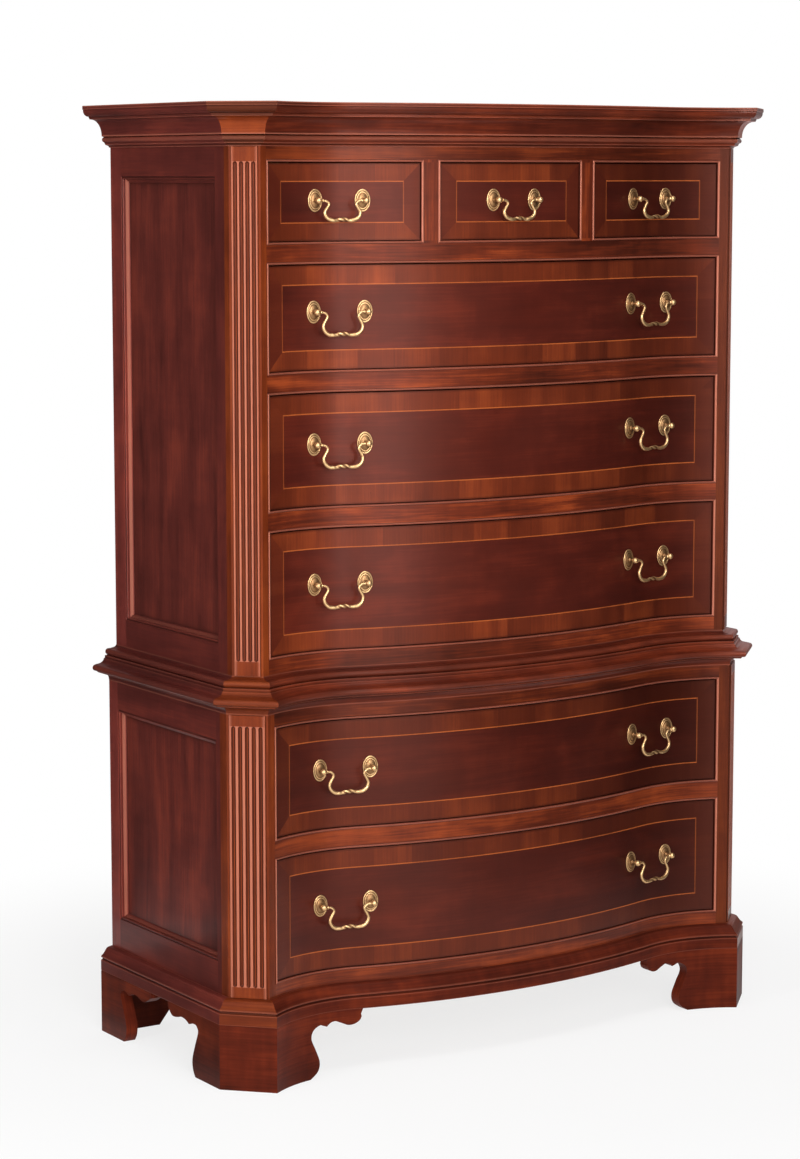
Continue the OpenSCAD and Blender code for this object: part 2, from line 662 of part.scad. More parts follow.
// Stepped oval plate laid on the front at a tilt, pierced for the shank
module rosette(tilt) difference() {
    rotate(tilt) translate([0, -rosette_seat, 0]) rotate([90, 0, 0])
        for (tier = [[1, 0.3], [0.82, 0.58], [0.6, 0.8], [0.36, 1]])
            linear_extrude(rosette_t * tier[1]) polygon([for (a = [0:18:342])
                tier[0] / 2 * [rosette_w * cos(a), rosette_h * sin(a)]]);
    rotate([90, 0, 0]) translate([0, 0, -5])
        cylinder(d = shank_d + 4 * joint_gap, h = rosette_t + 10, $fn = round_fn);
}

module pull_nut() rotate([90, 0, 0]) translate([0, 0, -front_t - nut_t - 1.5]) difference() {
    cylinder(d = 2 * shank_d, h = nut_t, $fn = 6);
    translate([0, 0, -1]) cylinder(d = shank_d + 2 * joint_gap, h = nut_t + 2, $fn = round_fn);
}

module drawer_pull_mounts(d) color(brass) for (x = pulls_of(d)) at_pull(d, x)
    for (side = [-1, 1]) translate([side * spacing_of(d) / 2, 0, 0]) {
        o = step_of(d) - front_recess;
        half = spacing_of(d) / 2;
        pull_post(side);
        rosette(front_angle(x + side * half, o) - front_angle(x, o, half));
        pull_nut();
    }

// Half of a swan-neck bail from its pin to the middle: across, down and thickness
function bail_half(end, drop) = smooth([[end - ball_r - 0.8, 0, arm_d - 1],
    [end - 12.5, -1.2, arm_d - 0.6], [end - 16, -0.2 * drop, arm_d - 0.3],
    [end - 12, -0.42 * drop, arm_d], [end - 9.8, -0.62 * drop, arm_d],
    [end - 15, 3 - drop, arm_d], [end - 24, -drop, arm_d],
    [end - 33, 1.4 - drop, arm_d + 0.4], [0, 2 - drop, grip_d]], 2);

module bail_bar(d, sides = 6) {
    half = bail_half(spacing_of(d) / 2, drop_of(d));
    n = len(half);
    path = concat(half, [for (i = [n - 2:-1:0]) [-half[i].x, half[i].y, half[i].z]]);
    m = len(path);
    points = [for (k = [0:m - 1]) let (
            a = path[max(k - 1, 0)], b = path[min(k + 1, m - 1)], t = [b.x - a.x, b.y - a.y],
            u = k == 0 || k == m - 1 ? [0, 1] : [t.y, -t.x] / norm(t))
        for (i = [0:sides - 1]) let (r = path[k].z / 2, c = 360 * i / sides)
            [path[k].x + r * cos(c) * u.x, r * sin(c), path[k].y + r * cos(c) * u.y]];
    walls = [for (k = [0:m - 2]) for (i = [0:sides - 1])
        let (a = k * sides + i, b = k * sides + (i + 1) % sides)
        each [[a, a + sides, b], [b, a + sides, b + sides]]];
    polyhedron(points, concat(walls, [[for (i = [0:sides - 1]) i]],
        [[for (i = [sides - 1:-1:0]) (m - 1) * sides + i]]));
}

module bail(d, x) color(brass) at_pull(d, x) translate([0, -post_reach, 0]) {
    bail_bar(d);
    for (side = [-1, 1]) translate([side * (spacing_of(d) / 2 - ball_r - 1.6), 0, 0])
        rotate([0, 90 * side, 0]) cylinder(d = pin_d, h = ball_r + 1.6, $fn = round_fn);
}

// Serpentine drawer front, bored for the shanks of its pulls
module drawer_front(d) color(band_wood) {
    z = row_low[row_of(d)];
    o = step_of(d) - front_recess;
    a = [left_of(d) + side_gap, crest_y - far / 2, z + low_gap];
    b = [right_of(d) - side_gap, far, z + row_h[row_of(d)] - top_gap];
    difference() {
        plan_block(o, a, b);
        slab(a.z - 1, b.z + 1, o - front_t);
        for (x = pulls_of(d)) at_pull(d, x)
            for (side = [-1, 1]) translate([side * spacing_of(d) / 2, -5, 0])
                rotate([-90, 0, 0]) cylinder(d = shank_d + 2 * joint_gap, h = front_t + 15, $fn = round_fn);
    }
}

// Drawer box: two sides, a back and a grooved-in bottom behind the front
module drawer_box(d) color(plain_wood) {
    z = row_low[row_of(d)] + low_gap;
    top = row_low[row_of(d)] + row_h[row_of(d)] - top_gap - box_drop;
    x0 = left_of(d) + box_gap;
    x1 = right_of(d) - box_gap;
    o = step_of(d) - front_recess - front_t - joint_gap;
    groove = box_t / 2;
    floor_z = z + bottom_lift;
    front = crest_y - far / 2;
    for (x = [x0, x1 - box_t]) difference() {
        plan_block(o, [x, front, z], [x + box_t, drawer_back_y, top]);
        block([x0 + box_t - groove, front, floor_z - joint_gap],
            [x1 - box_t + groove, drawer_back_y + 1, floor_z + bottom_t + joint_gap]);
    }
    block([x0 + box_t + joint_gap, drawer_back_y - box_t, floor_z + bottom_t + joint_gap],
        [x1 - box_t - joint_gap, drawer_back_y, top]);
    plan_block(o, [x0 + box_t - groove + joint_gap, front, floor_z],
        [x1 - box_t + groove - joint_gap, drawer_back_y, floor_z + bottom_t]);
}

crown_moulding();
top_panel();
upper_posts();
upper_side_frames();
upper_front_rails();
upper_dividers();
upper_cock_beads();
upper_dust_boards();
upper_bottom_board();
waist_moulding();
lower_posts();
lower_side_frames();
lower_front_rails();
lower_cock_beads();
lower_dust_board();
lower_case_boards();
side_panels();
back_boards();
base_moulding();
foot_front_left();
foot_front_right();
foot_rear_left();
foot_rear_right();
for (d = [1:8]) {
    drawer_front(d);
    drawer_box(d);
    drawer_pull_mounts(d);
}
for (p = pulls) bail(p[0], p[2]);
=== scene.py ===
import json
import math

import bmesh
import bpy
import numpy as np
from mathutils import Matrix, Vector

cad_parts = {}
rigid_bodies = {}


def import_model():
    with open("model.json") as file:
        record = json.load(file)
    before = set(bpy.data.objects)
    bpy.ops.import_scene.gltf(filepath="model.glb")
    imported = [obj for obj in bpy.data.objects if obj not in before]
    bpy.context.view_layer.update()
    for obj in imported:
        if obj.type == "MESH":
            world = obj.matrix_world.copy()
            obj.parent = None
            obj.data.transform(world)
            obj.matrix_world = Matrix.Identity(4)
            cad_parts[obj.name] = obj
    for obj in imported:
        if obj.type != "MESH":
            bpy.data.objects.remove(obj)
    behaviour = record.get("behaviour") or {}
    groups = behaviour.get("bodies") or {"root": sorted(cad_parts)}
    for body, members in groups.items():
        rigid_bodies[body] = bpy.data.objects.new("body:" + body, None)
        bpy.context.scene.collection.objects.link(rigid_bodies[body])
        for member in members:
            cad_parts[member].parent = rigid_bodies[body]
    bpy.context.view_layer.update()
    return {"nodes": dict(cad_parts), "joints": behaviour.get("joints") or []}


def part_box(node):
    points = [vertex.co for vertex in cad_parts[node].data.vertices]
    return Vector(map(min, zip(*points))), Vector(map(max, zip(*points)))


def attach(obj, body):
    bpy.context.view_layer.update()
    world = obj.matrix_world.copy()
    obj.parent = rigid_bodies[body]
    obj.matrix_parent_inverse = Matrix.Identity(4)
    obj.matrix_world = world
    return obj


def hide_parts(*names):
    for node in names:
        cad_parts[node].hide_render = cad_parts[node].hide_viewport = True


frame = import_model()
mm = 0.001
rng = np.random.default_rng(11)
print("frame loaded,", len(frame["nodes"]), "CAD nodes")


# Sizes, in millimetres. What the frame can tell is read from it.
case = {
    "hollowInset": 138,     # from the side of the upper case to each hollow's centre
    "hollowRadius": 228, "waveDepth": 47, "cantLeg": 34, "postDepth": 48, "sideThickness": 20, "stileWidth": 13,
}
opening = {"sideGap": 1, "lowGap": 0.8, "topGap": 1.5, "frontRecess": 1, "frontThickness": 20}
bead = {"width": 4, "proud": 1.5, "depth": 9, "ease": 0.35, "step": 9}


def boxOf(node):
    low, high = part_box(node)
    return np.array(low) / mm, np.array(high) / mm


topLow, topHigh = boxOf("top_panel")
halfWidth, backY, crestY = topHigh[0], topHigh[1], topLow[1]
caseStep = boxOf("lower_side_frames")[1][0] - halfWidth
crownLow, crownHigh = boxOf("crown_moulding")
waistLow, waistHigh = boxOf("waist_moulding")
baseLow, baseHigh = boxOf("base_moulding")
seamZ = boxOf("upper_posts")[0][2]
hollowX = halfWidth - case["hollowInset"]
hollowRadius = case["hollowRadius"]
centreSpan = (hollowX ** 2 + case["waveDepth"] ** 2) / (2 * case["waveDepth"])
crestRadius = centreSpan - hollowRadius
crestCentre = crestY + crestRadius
hollowCentre = crestY + case["waveDepth"] - hollowRadius
cornerX = halfWidth - case["cantLeg"]
cornerY = hollowCentre + math.sqrt(hollowRadius ** 2 - (cornerX - hollowX) ** 2)
railBackY = cornerY + case["postDepth"]
postX = cornerX - case["stileWidth"]
openingX = postX - bead["width"]
# offset of each case's face, and the heights between which its posts and sides show
cases = {"upper": (0.0, waistHigh[2], crownLow[2]), "lower": (caseStep, baseHigh[2], waistLow[2])}
sides = (("Left", -1), ("Right", 1))


def frontY(x, offset):
    # a convex arc between two hollows, whose radii grow and shrink with the offset
    x = np.abs(x)
    join = hollowX * (crestRadius + offset) / centreSpan
    crest = crestCentre - np.sqrt(np.maximum((crestRadius + offset) ** 2 - x ** 2, 0))
    hollow = hollowCentre + np.sqrt(np.maximum((hollowRadius - offset) ** 2 - (x - hollowX) ** 2, 0))
    return np.where(x < join, crest, hollow)


def frontSlope(x, offset, step=1.0):
    return math.atan(float(frontY(x + step, offset) - frontY(x - step, offset)) / (2 * step))


def sideCornerY(offset):
    return cornerY + case["cantLeg"] - offset * math.tan(math.radians(22.5))


def cantFront(offset):
    # where the 45 degree cant from the side's corner meets the hollow
    u = halfWidth + offset - hollowX
    v = sideCornerY(offset) - hollowCentre
    run = (u + v - np.sqrt((u + v) ** 2 - 2 * (u * u + v * v - (hollowRadius - offset) ** 2))) / 2
    return halfWidth + offset - run, sideCornerY(offset) - run


# Meshes. A patch is a grid of points with its grain coordinates, a cap is one flat face.
finish = {"merge": 0.003, "thin": 0.001, "endTone": -0.25, "endGrain": 0.2, "bevelSteps": 2, "bevelAngle": 40}
# recess carries glaze, painted shade and painted highlight on the wood, and patina on the brass
mapNames, maskNames = ("grain", "edge"), ("tone", "recess")


def newSeat():
    return rng.uniform(0, 6, 2)


def xyz(x, y, z):
    return np.stack(np.broadcast_arrays(x, y, z), -1)


def lengths(points):
    # running length along the first axis of a grid of points, in metres
    steps = np.linalg.norm(np.diff(points, axis=0), axis=-1)
    return np.concatenate([np.zeros((1,) + steps.shape[1:]), np.cumsum(steps, axis=0)]) * mm


def meshPart(points, faces, material, **fields):
    # the fields are given for each point and kept for each corner of each face
    kept = {}
    for key, values in fields.items():
        tail = (2,) if key in mapNames else ()
        kept[key] = np.broadcast_to(values, points.shape[:-1] + tail).reshape((-1,) + tail)[faces.ravel()]
    return {"points": points, "faces": faces, "material": material, "fields": kept}


def patch(points, along=0, seat=None, tone=0.0, material=0, recess=0.0, edge=0.0, uv=None):
    # u runs along the grain: the grid's first axis if along is 0, else its second
    points = np.asarray(points, float)
    seat = newSeat() if seat is None else seat
    if uv is None:
        first = lengths(points).mean(axis=1, keepdims=True)
        second = lengths(points.swapaxes(0, 1)).T.mean(axis=0, keepdims=True)
        uv = np.stack(np.broadcast_arrays(*((first, second) if along == 0 else (second, first))), axis=-1)
    index = np.arange(points[..., 0].size).reshape(points.shape[:2])
    faces = np.stack([index[:-1, :-1], index[1:, :-1], index[1:, 1:], index[:-1, 1:]], -1).reshape(-1, 4)
    return meshPart(points, faces, material, grain=uv + seat, edge=edge, tone=tone, recess=recess)


def cap(loop, across=(0, 1)):
    # end grain: the two named axes of the loop are its grain coordinates, turned small
    loop = np.asarray(loop, float)
    uv = loop[:, list(across)] * mm * (finish["endGrain"], 1) + newSeat()
    return meshPart(loop, np.arange(len(loop))[None, :], 0, grain=uv, edge=0.0, tone=finish["endTone"], recess=0.0)


def newObject(name, data):
    item = bpy.data.objects.new(name, data)
    bpy.context.scene.collection.objects.link(item)
    return item


def makePiece(name, parts, body, node, materials, sharp=32, bevel=0.0):
    bases = np.cumsum([0] + [part["points"].size // 3 for part in parts])
    points = np.concatenate([part["points"].reshape(-1, 3) for part in parts])
    corners = np.concatenate([(part["faces"] + base).ravel() for part, base in zip(parts, bases)])
    sizes = np.concatenate([np.full(len(part["faces"]), part["faces"].shape[1]) for part in parts])
    kinds = np.concatenate([np.full(len(part["faces"]), part["material"]) for part in parts])
    mesh = bpy.data.meshes.new(name)
    mesh.vertices.add(len(points))
    mesh.vertices.foreach_set("co", (points * mm).astype(np.float32).ravel())
    mesh.loops.add(len(corners))
    mesh.loops.foreach_set("vertex_index", corners.astype(np.int32))
    mesh.polygons.add(len(sizes))
    mesh.polygons.foreach_set("loop_start", (np.cumsum(sizes) - sizes).astype(np.int32))
    mesh.polygons.foreach_set("material_index", kinds.astype(np.int32))
    mesh.update(calc_edges=True)
    for key in mapNames + maskNames:
        values = np.concatenate([part["fields"][key] for part in parts]).astype(np.float32).ravel()
        if key in mapNames:
            mesh.uv_layers.new(name=key).data.foreach_set("uv", values)
        else:
            mesh.attributes.new(key, "FLOAT", "CORNER").data.foreach_set("value", values)
    bm = bmesh.new()
    bm.from_mesh(mesh)
    bmesh.ops.remove_doubles(bm, verts=bm.verts, dist=finish["merge"] * mm)
    bmesh.ops.dissolve_degenerate(bm, edges=bm.edges, dist=finish["thin"] * mm)
    bmesh.ops.recalc_face_normals(bm, faces=bm.faces)
    bm.to_mesh(mesh)
    bm.free()
    mesh.shade_smooth()
    mesh.set_sharp_from_angle(angle=math.radians(sharp))
    for material in materials:
        mesh.materials.append(material)
    piece = newObject(name, mesh)
    if bevel:
        ease = piece.modifiers.new("ease", "BEVEL")
        ease.width = bevel * mm
        ease.segments = finish["bevelSteps"]
        ease.limit_method = "ANGLE"
        ease.angle_limit = math.radians(finish["bevelAngle"])
        ease.harden_normals = True
    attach(piece, body)
    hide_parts(node)


def arcPoints(cx, cz, rx, rz, start, stop, count):
    angle = np.radians(np.linspace(start, stop, count + 1))
    return np.stack([cx + rx * np.cos(angle), cz + rz * np.sin(angle)], -1)


def throughPoints(padded, count):
    # Catmull-Rom curve from the second of the points to the last but one
    t = (np.arange(count) / count)[:, None]
    a, b, c, d = (padded[k:k + len(padded) - 3, None] for k in range(4))
    curve = 0.5 * (2 * b + (c - a) * t + (2 * a - 5 * b + 4 * c - d) * t ** 2 + (3 * b - a - 3 * c + d) * t ** 3)
    return np.vstack([curve.reshape(-1, padded.shape[1]), padded[-2:-1]])


def sheet(axis, level, first, second):
    # a flat rectangle at one level of an axis; the other two axes run between two numbers each
    grid = np.zeros((2, 2, 3))
    a, b = (k for k in range(3) if k != axis)
    grid[..., axis] = level
    grid[..., a] = np.reshape(first, (2, 1))
    grid[..., b] = second
    return grid


def prism(loop, low, high, tone=0.0):
    # closed upright block: a loop in plan carried from one height to another
    ring = np.vstack([loop, loop[:1]])
    walls = xyz(*ring.T, [[low], [high]])
    return [patch(walls, tone=tone), cap(xyz(*loop.T, low)), cap(xyz(*loop.T, high))]


def board(low, high):
    # closed box of six flat faces, its grain from front to back
    seat = newSeat()
    faces = []
    for axis, along, tone in ((0, 0, 0.0), (1, 0, -0.2), (2, 1, 0.0)):
        a, b = (k for k in range(3) if k != axis)
        for level in (low[axis], high[axis]):
            faces.append(patch(sheet(axis, level, (low[a], high[a]), (low[b], high[b])), along, seat, tone))
    return faces


# Materials
def paint(red, green, blue):
    # a colour as it is seen, 0 to 255, made linear
    value = np.array([red, green, blue]) / 255
    linear = np.where(value <= 0.04045, value / 12.92, ((value + 0.055) / 1.055) ** 2.4)
    return (*linear, 1.0)


def feed(tree, socket, value):
    if isinstance(value, bpy.types.NodeSocket):
        tree.links.new(value, socket)
    else:
        socket.default_value = value


def feedAll(tree, node, values):
    for key, value in values.items():
        feed(tree, node.inputs[key], value)


def addNode(tree, kind, inputs=None, **settings):
    node = tree.nodes.new("ShaderNode" + kind)
    for key, value in settings.items():
        setattr(node, key, value)
    feedAll(tree, node, inputs or {})
    return node.outputs


def calc(tree, operation, first, second=0.0, clamp=False):
    return addNode(tree, "Math", {0: first, 1: second}, operation=operation, use_clamp=clamp)[0]


def plus(tree, first, second, clamp=False):
    return calc(tree, "ADD", first, second, clamp)


def less(tree, first, second):
    return calc(tree, "SUBTRACT", first, second)


def times(tree, first, second):
    return calc(tree, "MULTIPLY", first, second)


def spread(tree, value, low, high, toLow=0.0, toHigh=1.0):
    # a smooth step from one value to another
    return addNode(tree, "MapRange", {"From Min": low, "From Max": high, "To Min": toLow, "To Max": toHigh,
                                      "Value": value}, interpolation_type="SMOOTHSTEP")[0]


def mixColour(tree, factor, first, second):
    return addNode(tree, "Mix", {0: factor, 6: first, 7: second}, data_type="RGBA")[2]


def noise(tree, vector, scale=1.0, detail=2.0, roughness=0.5, distortion=0.0):
    return addNode(tree, "TexNoise", {"Vector": vector, "Scale": scale, "Detail": detail, "Roughness": roughness,
                                      "Distortion": distortion})["Fac"]


def uvOf(tree, name):
    return addNode(tree, "UVMap", uv_map=name)[0]


def attribute(tree, name):
    return addNode(tree, "Attribute", attribute_name=name)["Fac"]


def objectVector(tree):
    return addNode(tree, "TexCoord")["Object"]


# how often each figure repeats in a metre along and across the grain
figures = {"broad": (2.2, 26), "fine": (11, 330), "mottle": (9, 13), "ribbon": (60, 12), "pore": (150, 2400),
           "fleck": (60, 110), "blocks": (9, 15)}


def buildMahoganyGrain():
    # stretched noises for growth streaks, fine streaks, mottle, a cross ribbon and pores, short dark flecks,
    # and straight-jointed blocks of veneer, whose shade changes along the grain too
    group = bpy.data.node_groups.new("mahoganyGrain", "ShaderNodeTree")
    group.interface.new_socket(name="Grain", in_out="INPUT", socket_type="NodeSocketVector")
    for key in ("Streak", "Mottle", "Ribbon", "Blocks"):
        group.interface.new_socket(name=key, in_out="INPUT", socket_type="NodeSocketFloat")
    for key in ("Shade", "Pores", "Relief"):
        group.interface.new_socket(name=key, in_out="OUTPUT", socket_type="NodeSocketFloat")
    given, out = group.nodes.new("NodeGroupInput").outputs, group.nodes.new("NodeGroupOutput").inputs
    grain = given["Grain"]

    def stretched(name):
        along, across = figures[name]
        return addNode(group, "VectorMath", {0: grain, 1: (along, across, across)}, operation="MULTIPLY")[0]

    broad = noise(group, stretched("broad"), detail=4, roughness=0.55, distortion=0.6)
    fine = noise(group, stretched("fine"), detail=3, roughness=0.6)
    mottle = noise(group, stretched("mottle"), detail=3, distortion=0.4)
    ribbon = noise(group, stretched("ribbon"))
    dash = spread(group, noise(group, stretched("pore"), detail=1), 0.62, 0.72)
    place = addNode(group, "SeparateXYZ", {0: grain})
    leaf = addNode(group, "TexVoronoi", {"W": times(group, place[1], figures["blocks"][1]), "Scale": 1.0,
                                         "Randomness": 0.7}, voronoi_dimensions="1D")["Color"]
    leaf = addNode(group, "SeparateColor", {0: leaf})
    swing = calc(group, "PINGPONG", times(group, place[0], figures["blocks"][0]), 1.0)
    block = plus(group, times(group, leaf[0], swing), times(group, leaf[1], less(group, 1.0, swing)))
    streak = plus(group, times(group, less(group, broad, 0.5), 1.5), times(group, less(group, fine, 0.5), 0.8))
    flecks = addNode(group, "TexVoronoi", {"Vector": stretched("fleck"), "Scale": 1.0})
    chosen = addNode(group, "SeparateColor", {0: flecks["Color"]})[0]
    fleck = times(group, spread(group, flecks["Distance"], 0.05, 0.12, 1.0, 0.0), spread(group, chosen, 0.86, 0.9))
    shade = plus(group, 0.5, times(group, streak, given["Streak"]))
    for value, amount in ((mottle, given["Mottle"]), (ribbon, given["Ribbon"]), (block, given["Blocks"])):
        shade = plus(group, shade, times(group, less(group, value, 0.5), amount))
    feed(group, out["Shade"], plus(group, shade, 0.0, clamp=True))
    feed(group, out["Pores"], calc(group, "MAXIMUM", times(group, dash, 0.5), fleck))
    feed(group, out["Relief"], less(group, times(group, fine, 0.25), dash))
    return group


mahoganyGrain = buildMahoganyGrain()


def shadeRamp(tree, value, looks):
    ramp = tree.nodes.new("ShaderNodeValToRGB")
    for element, (position, key) in zip(ramp.color_ramp.elements, ((0.12, "dark"), (0.88, "light"))):
        element.position = position
        element.color = looks[key]
    ramp.color_ramp.elements.new(0.5).color = looks["middle"]
    feed(tree, ramp.inputs[0], value)
    return ramp.outputs[0]


def newMaterial(name):
    material = bpy.data.materials.new(name)
    material.use_nodes = True
    tree = material.node_tree
    return material, tree, tree.nodes["Principled BSDF"]


def bumped(tree, shader, height, strength):
    bump = addNode(tree, "Bump", {"Strength": strength, "Distance": 0.0002, "Height": height})
    feed(tree, shader.inputs["Normal"], bump[0])


def lacquer(tree, shader, relief, looks):
    # thin clear coat over the stained wood, with the pores just felt through it
    rough = noise(tree, objectVector(tree), scale=5, detail=3)
    rough = spread(tree, rough, 0.3, 0.7, looks["rough"] - 0.05, looks["rough"] + 0.07)
    feedAll(tree, shader, {"Roughness": rough, "Specular IOR Level": looks["specular"],
                           "Specular Tint": looks["tint"], "Coat Weight": looks["coat"],
                           "Coat Roughness": looks["coatRough"]})
    bumped(tree, shader, relief, looks["bump"])


def turnedVector(tree, order):
    # object coordinates with the grain's own axis put first
    axes = addNode(tree, "SeparateXYZ", {0: objectVector(tree)})
    return addNode(tree, "CombineXYZ", {slot: axes[axis] for slot, axis in enumerate(order)})[0]


def glazeAndPaintedLight(tree, colour, recess):
    # dark glaze and painted shade in the quirks and hollows, and a painted highlight on the edges
    colour = mixColour(tree, times(tree, spread(tree, recess, 0.0, 0.9), 0.85), colour, shadeAndGlazeColour)
    return mixColour(tree, spread(tree, recess, -2.0, -0.1, 0.8, 0.0), colour, edgeHighlightColour)


def toned(tree, colour, tone):
    # boards differ a little at random, and some faces carry painted shade and light: this attribute lifts or lowers
    # the colour
    return addNode(tree, "HueSaturation", {"Color": colour, "Value": plus(tree, tone, 1.0)})[0]


def woodLooks(dark, middle, light, streak, mottle, ribbon, blocks=0.0):
    return {"dark": paint(*dark), "middle": paint(*middle), "light": paint(*light),
            "streak": streak, "mottle": mottle, "ribbon": ribbon, "blocks": blocks}


stainTint = (1.0, 0.36, 0.26, 1.0)
lacquerLooks = {"rough": 0.36, "specular": 0.5, "tint": stainTint, "coat": 0.1, "coatRough": 0.2, "bump": 0.2}
satinLooks = {"rough": 0.38, "specular": 0.25, "tint": stainTint, "coat": 0.2, "coatRough": 0.15, "bump": 0.2}
caseFinish = {"rough": 0.36, "specular": 0.35, "tint": stainTint, "coat": 0.08, "coatRough": 0.18, "bump": 0.2}
footFinish = {"rough": 0.5, "specular": 0.12, "tint": stainTint, "coat": 0.02, "coatRough": 0.25, "bump": 0.25}
bareLooks = {"rough": 0.6, "specular": 0.3, "tint": (1, 1, 1, 1), "coat": 0.0, "coatRough": 0.3, "bump": 0.5}
caseLooks = woodLooks((50, 16, 10), (80, 28, 15), (118, 46, 23), 0.9, 0.8, 0.2)
footLooks = woodLooks((50, 17, 11), (80, 28, 16), (112, 43, 22), 0.7, 0.8, 0.4)
sideLooks = woodLooks((61, 23, 20), (85, 33, 28), (111, 45, 34), 0.6, 0.8, 0.2)
bandLooks = woodLooks((68, 23, 10), (93, 35, 15), (127, 54, 22), 0.35, 0.6, 0.2, 0.42)
railLooks = woodLooks((54, 18, 9), (91, 33, 15), (140, 59, 24), 1.15, 0.85, 0.2)
postLooks = woodLooks((76, 27, 10), (108, 42, 15), (142, 63, 23), 0.7, 0.6, 0.2)
fieldLooks = woodLooks((49, 14, 10), (69, 21, 13), (100, 35, 20), 0.5, 0.7, 0.15)
panelLooks = woodLooks((61, 23, 20), (88, 35, 29), (119, 49, 36), 0.7, 0.8, 0.15)
beadLooks = woodLooks((56, 19, 12), (78, 28, 17), (102, 40, 24), 0.5, 0.5, 0.1)
plainLooks = woodLooks((150, 118, 80), (178, 146, 104), (202, 172, 130), 0.7, 0.4, 0.1)
stringColour = paint(168, 86, 38)
# painted shade with glaze for quirks, hollows and rims, and a painted highlight for edges and noses
shadeAndGlazeColour = paint(34, 11, 7)
edgeHighlightColour = paint(190, 116, 92)
brassLooks = {"bright": paint(216, 176, 126), "aged": paint(126, 88, 56),
              "polish": 0.33, "dull": 0.45, "metal": 0.88}


def woodMaterial(name, looks, order=None, finish=lacquerLooks):
    # order None reads the piece's own grain map, otherwise object axes with the grain's axis first
    material, tree, shader = newMaterial(name)
    grain = uvOf(tree, "grain") if order is None else turnedVector(tree, order)
    wood = addNode(tree, "Group", {"Grain": grain, "Streak": looks["streak"], "Mottle": looks["mottle"],
                                   "Ribbon": looks["ribbon"], "Blocks": looks["blocks"]}, node_tree=mahoganyGrain)
    colour = shadeRamp(tree, wood["Shade"], looks)
    colour = mixColour(tree, times(tree, wood["Pores"], 0.6), colour, looks["dark"])
    if order is None:
        colour = toned(tree, colour, attribute(tree, "tone"))
        colour = glazeAndPaintedLight(tree, colour, attribute(tree, "recess"))
    feed(tree, shader.inputs["Base Color"], colour)
    lacquer(tree, shader, wood["Relief"], finish)
    return material


# steps over the edge map, which is 1 where the band ends
banded = {
    "string": (0.995, 1.01), "field": (1.05, 1.07), "mitre": (-0.004, 0.004), "rim": (0.0, 0.16, 0.55, 0.0),
    "endShadeShare": 0.65, "dimShare": (-0.55, -0.05, 0.6, 0.0), "stringShare": (0.1, 0.6, 0.4, 0.85), "pores": 0.4,
}


def buildFrontMaterial():
    # drawer front: field, light string and cross-grained bands, told apart by the distance to the edges
    material, tree, shader = newMaterial("bandedFront")
    fromEnd, fromRim = addNode(tree, "SeparateXYZ", {0: uvOf(tree, "edge")})[:2]
    nearest = calc(tree, "MINIMUM", fromEnd, fromRim)
    isField = spread(tree, nearest, *banded["field"])
    notField = less(tree, 1.0, isField)
    isString = less(tree, spread(tree, nearest, *banded["string"]), isField)
    isEnd = spread(tree, less(tree, fromRim, fromEnd), *banded["mitre"])
    along, across = addNode(tree, "SeparateXYZ", {0: uvOf(tree, "grain")})[:2]
    turned = addNode(tree, "CombineXYZ", {0: across, 1: along})[0]
    upright = times(tree, notField, less(tree, 1.0, isEnd))
    grain = addNode(tree, "Mix", {0: upright, 4: uvOf(tree, "grain"), 5: turned}, data_type="VECTOR")[1]
    mottle = plus(tree, bandLooks["mottle"], times(tree, isField, fieldLooks["mottle"] - bandLooks["mottle"]))
    blocks = times(tree, notField, bandLooks["blocks"])
    wood = addNode(tree, "Group", {"Grain": grain, "Streak": fieldLooks["streak"], "Mottle": mottle,
                                   "Ribbon": fieldLooks["ribbon"], "Blocks": blocks}, node_tree=mahoganyGrain)
    # painted shade: the end bands, and all of them where the tone falls, come near the field's colour
    tone = attribute(tree, "tone")
    dim = calc(tree, "MAXIMUM", times(tree, isEnd, banded["endShadeShare"]), spread(tree, tone, *banded["dimShare"]))
    band = mixColour(tree, dim, shadeRamp(tree, wood["Shade"], bandLooks), fieldLooks["middle"])
    colour = mixColour(tree, isField, band, shadeRamp(tree, wood["Shade"], fieldLooks))
    colour = mixColour(tree, times(tree, wood["Pores"], banded["pores"]), colour, fieldLooks["dark"])
    colour = toned(tree, colour, tone)
    # painted shade and glaze along the rim beside the beads
    colour = mixColour(tree, spread(tree, nearest, *banded["rim"]), colour, shadeAndGlazeColour)
    pale = times(tree, isString, spread(tree, wood["Shade"], *banded["stringShare"]))
    pale = times(tree, pale, less(tree, 1.0, times(tree, isEnd, 0.5)))
    feed(tree, shader.inputs["Base Color"], mixColour(tree, pale, colour, stringColour))
    lacquer(tree, shader, wood["Relief"], lacquerLooks)
    return material


def buildBrass():
    # antique brass: worn bright on what stands proud, brown in the recesses
    material, tree, shader = newMaterial("agedBrass")
    place = objectVector(tree)
    cloud = noise(tree, place, scale=180, detail=4, roughness=0.6)
    speck = noise(tree, place, scale=1500)
    recess = plus(tree, attribute(tree, "recess"), times(tree, less(tree, cloud, 0.5), 0.3), clamp=True)
    colour = mixColour(tree, spread(tree, recess, 0.15, 0.85), brassLooks["bright"], brassLooks["aged"])
    rough = plus(tree, recess, times(tree, speck, 0.2))
    rough = spread(tree, rough, 0.0, 1.0, brassLooks["polish"], brassLooks["dull"])
    feedAll(tree, shader, {"Base Color": colour, "Roughness": rough, "Metallic": brassLooks["metal"]})
    bumped(tree, shader, cloud, 0.15)
    return material


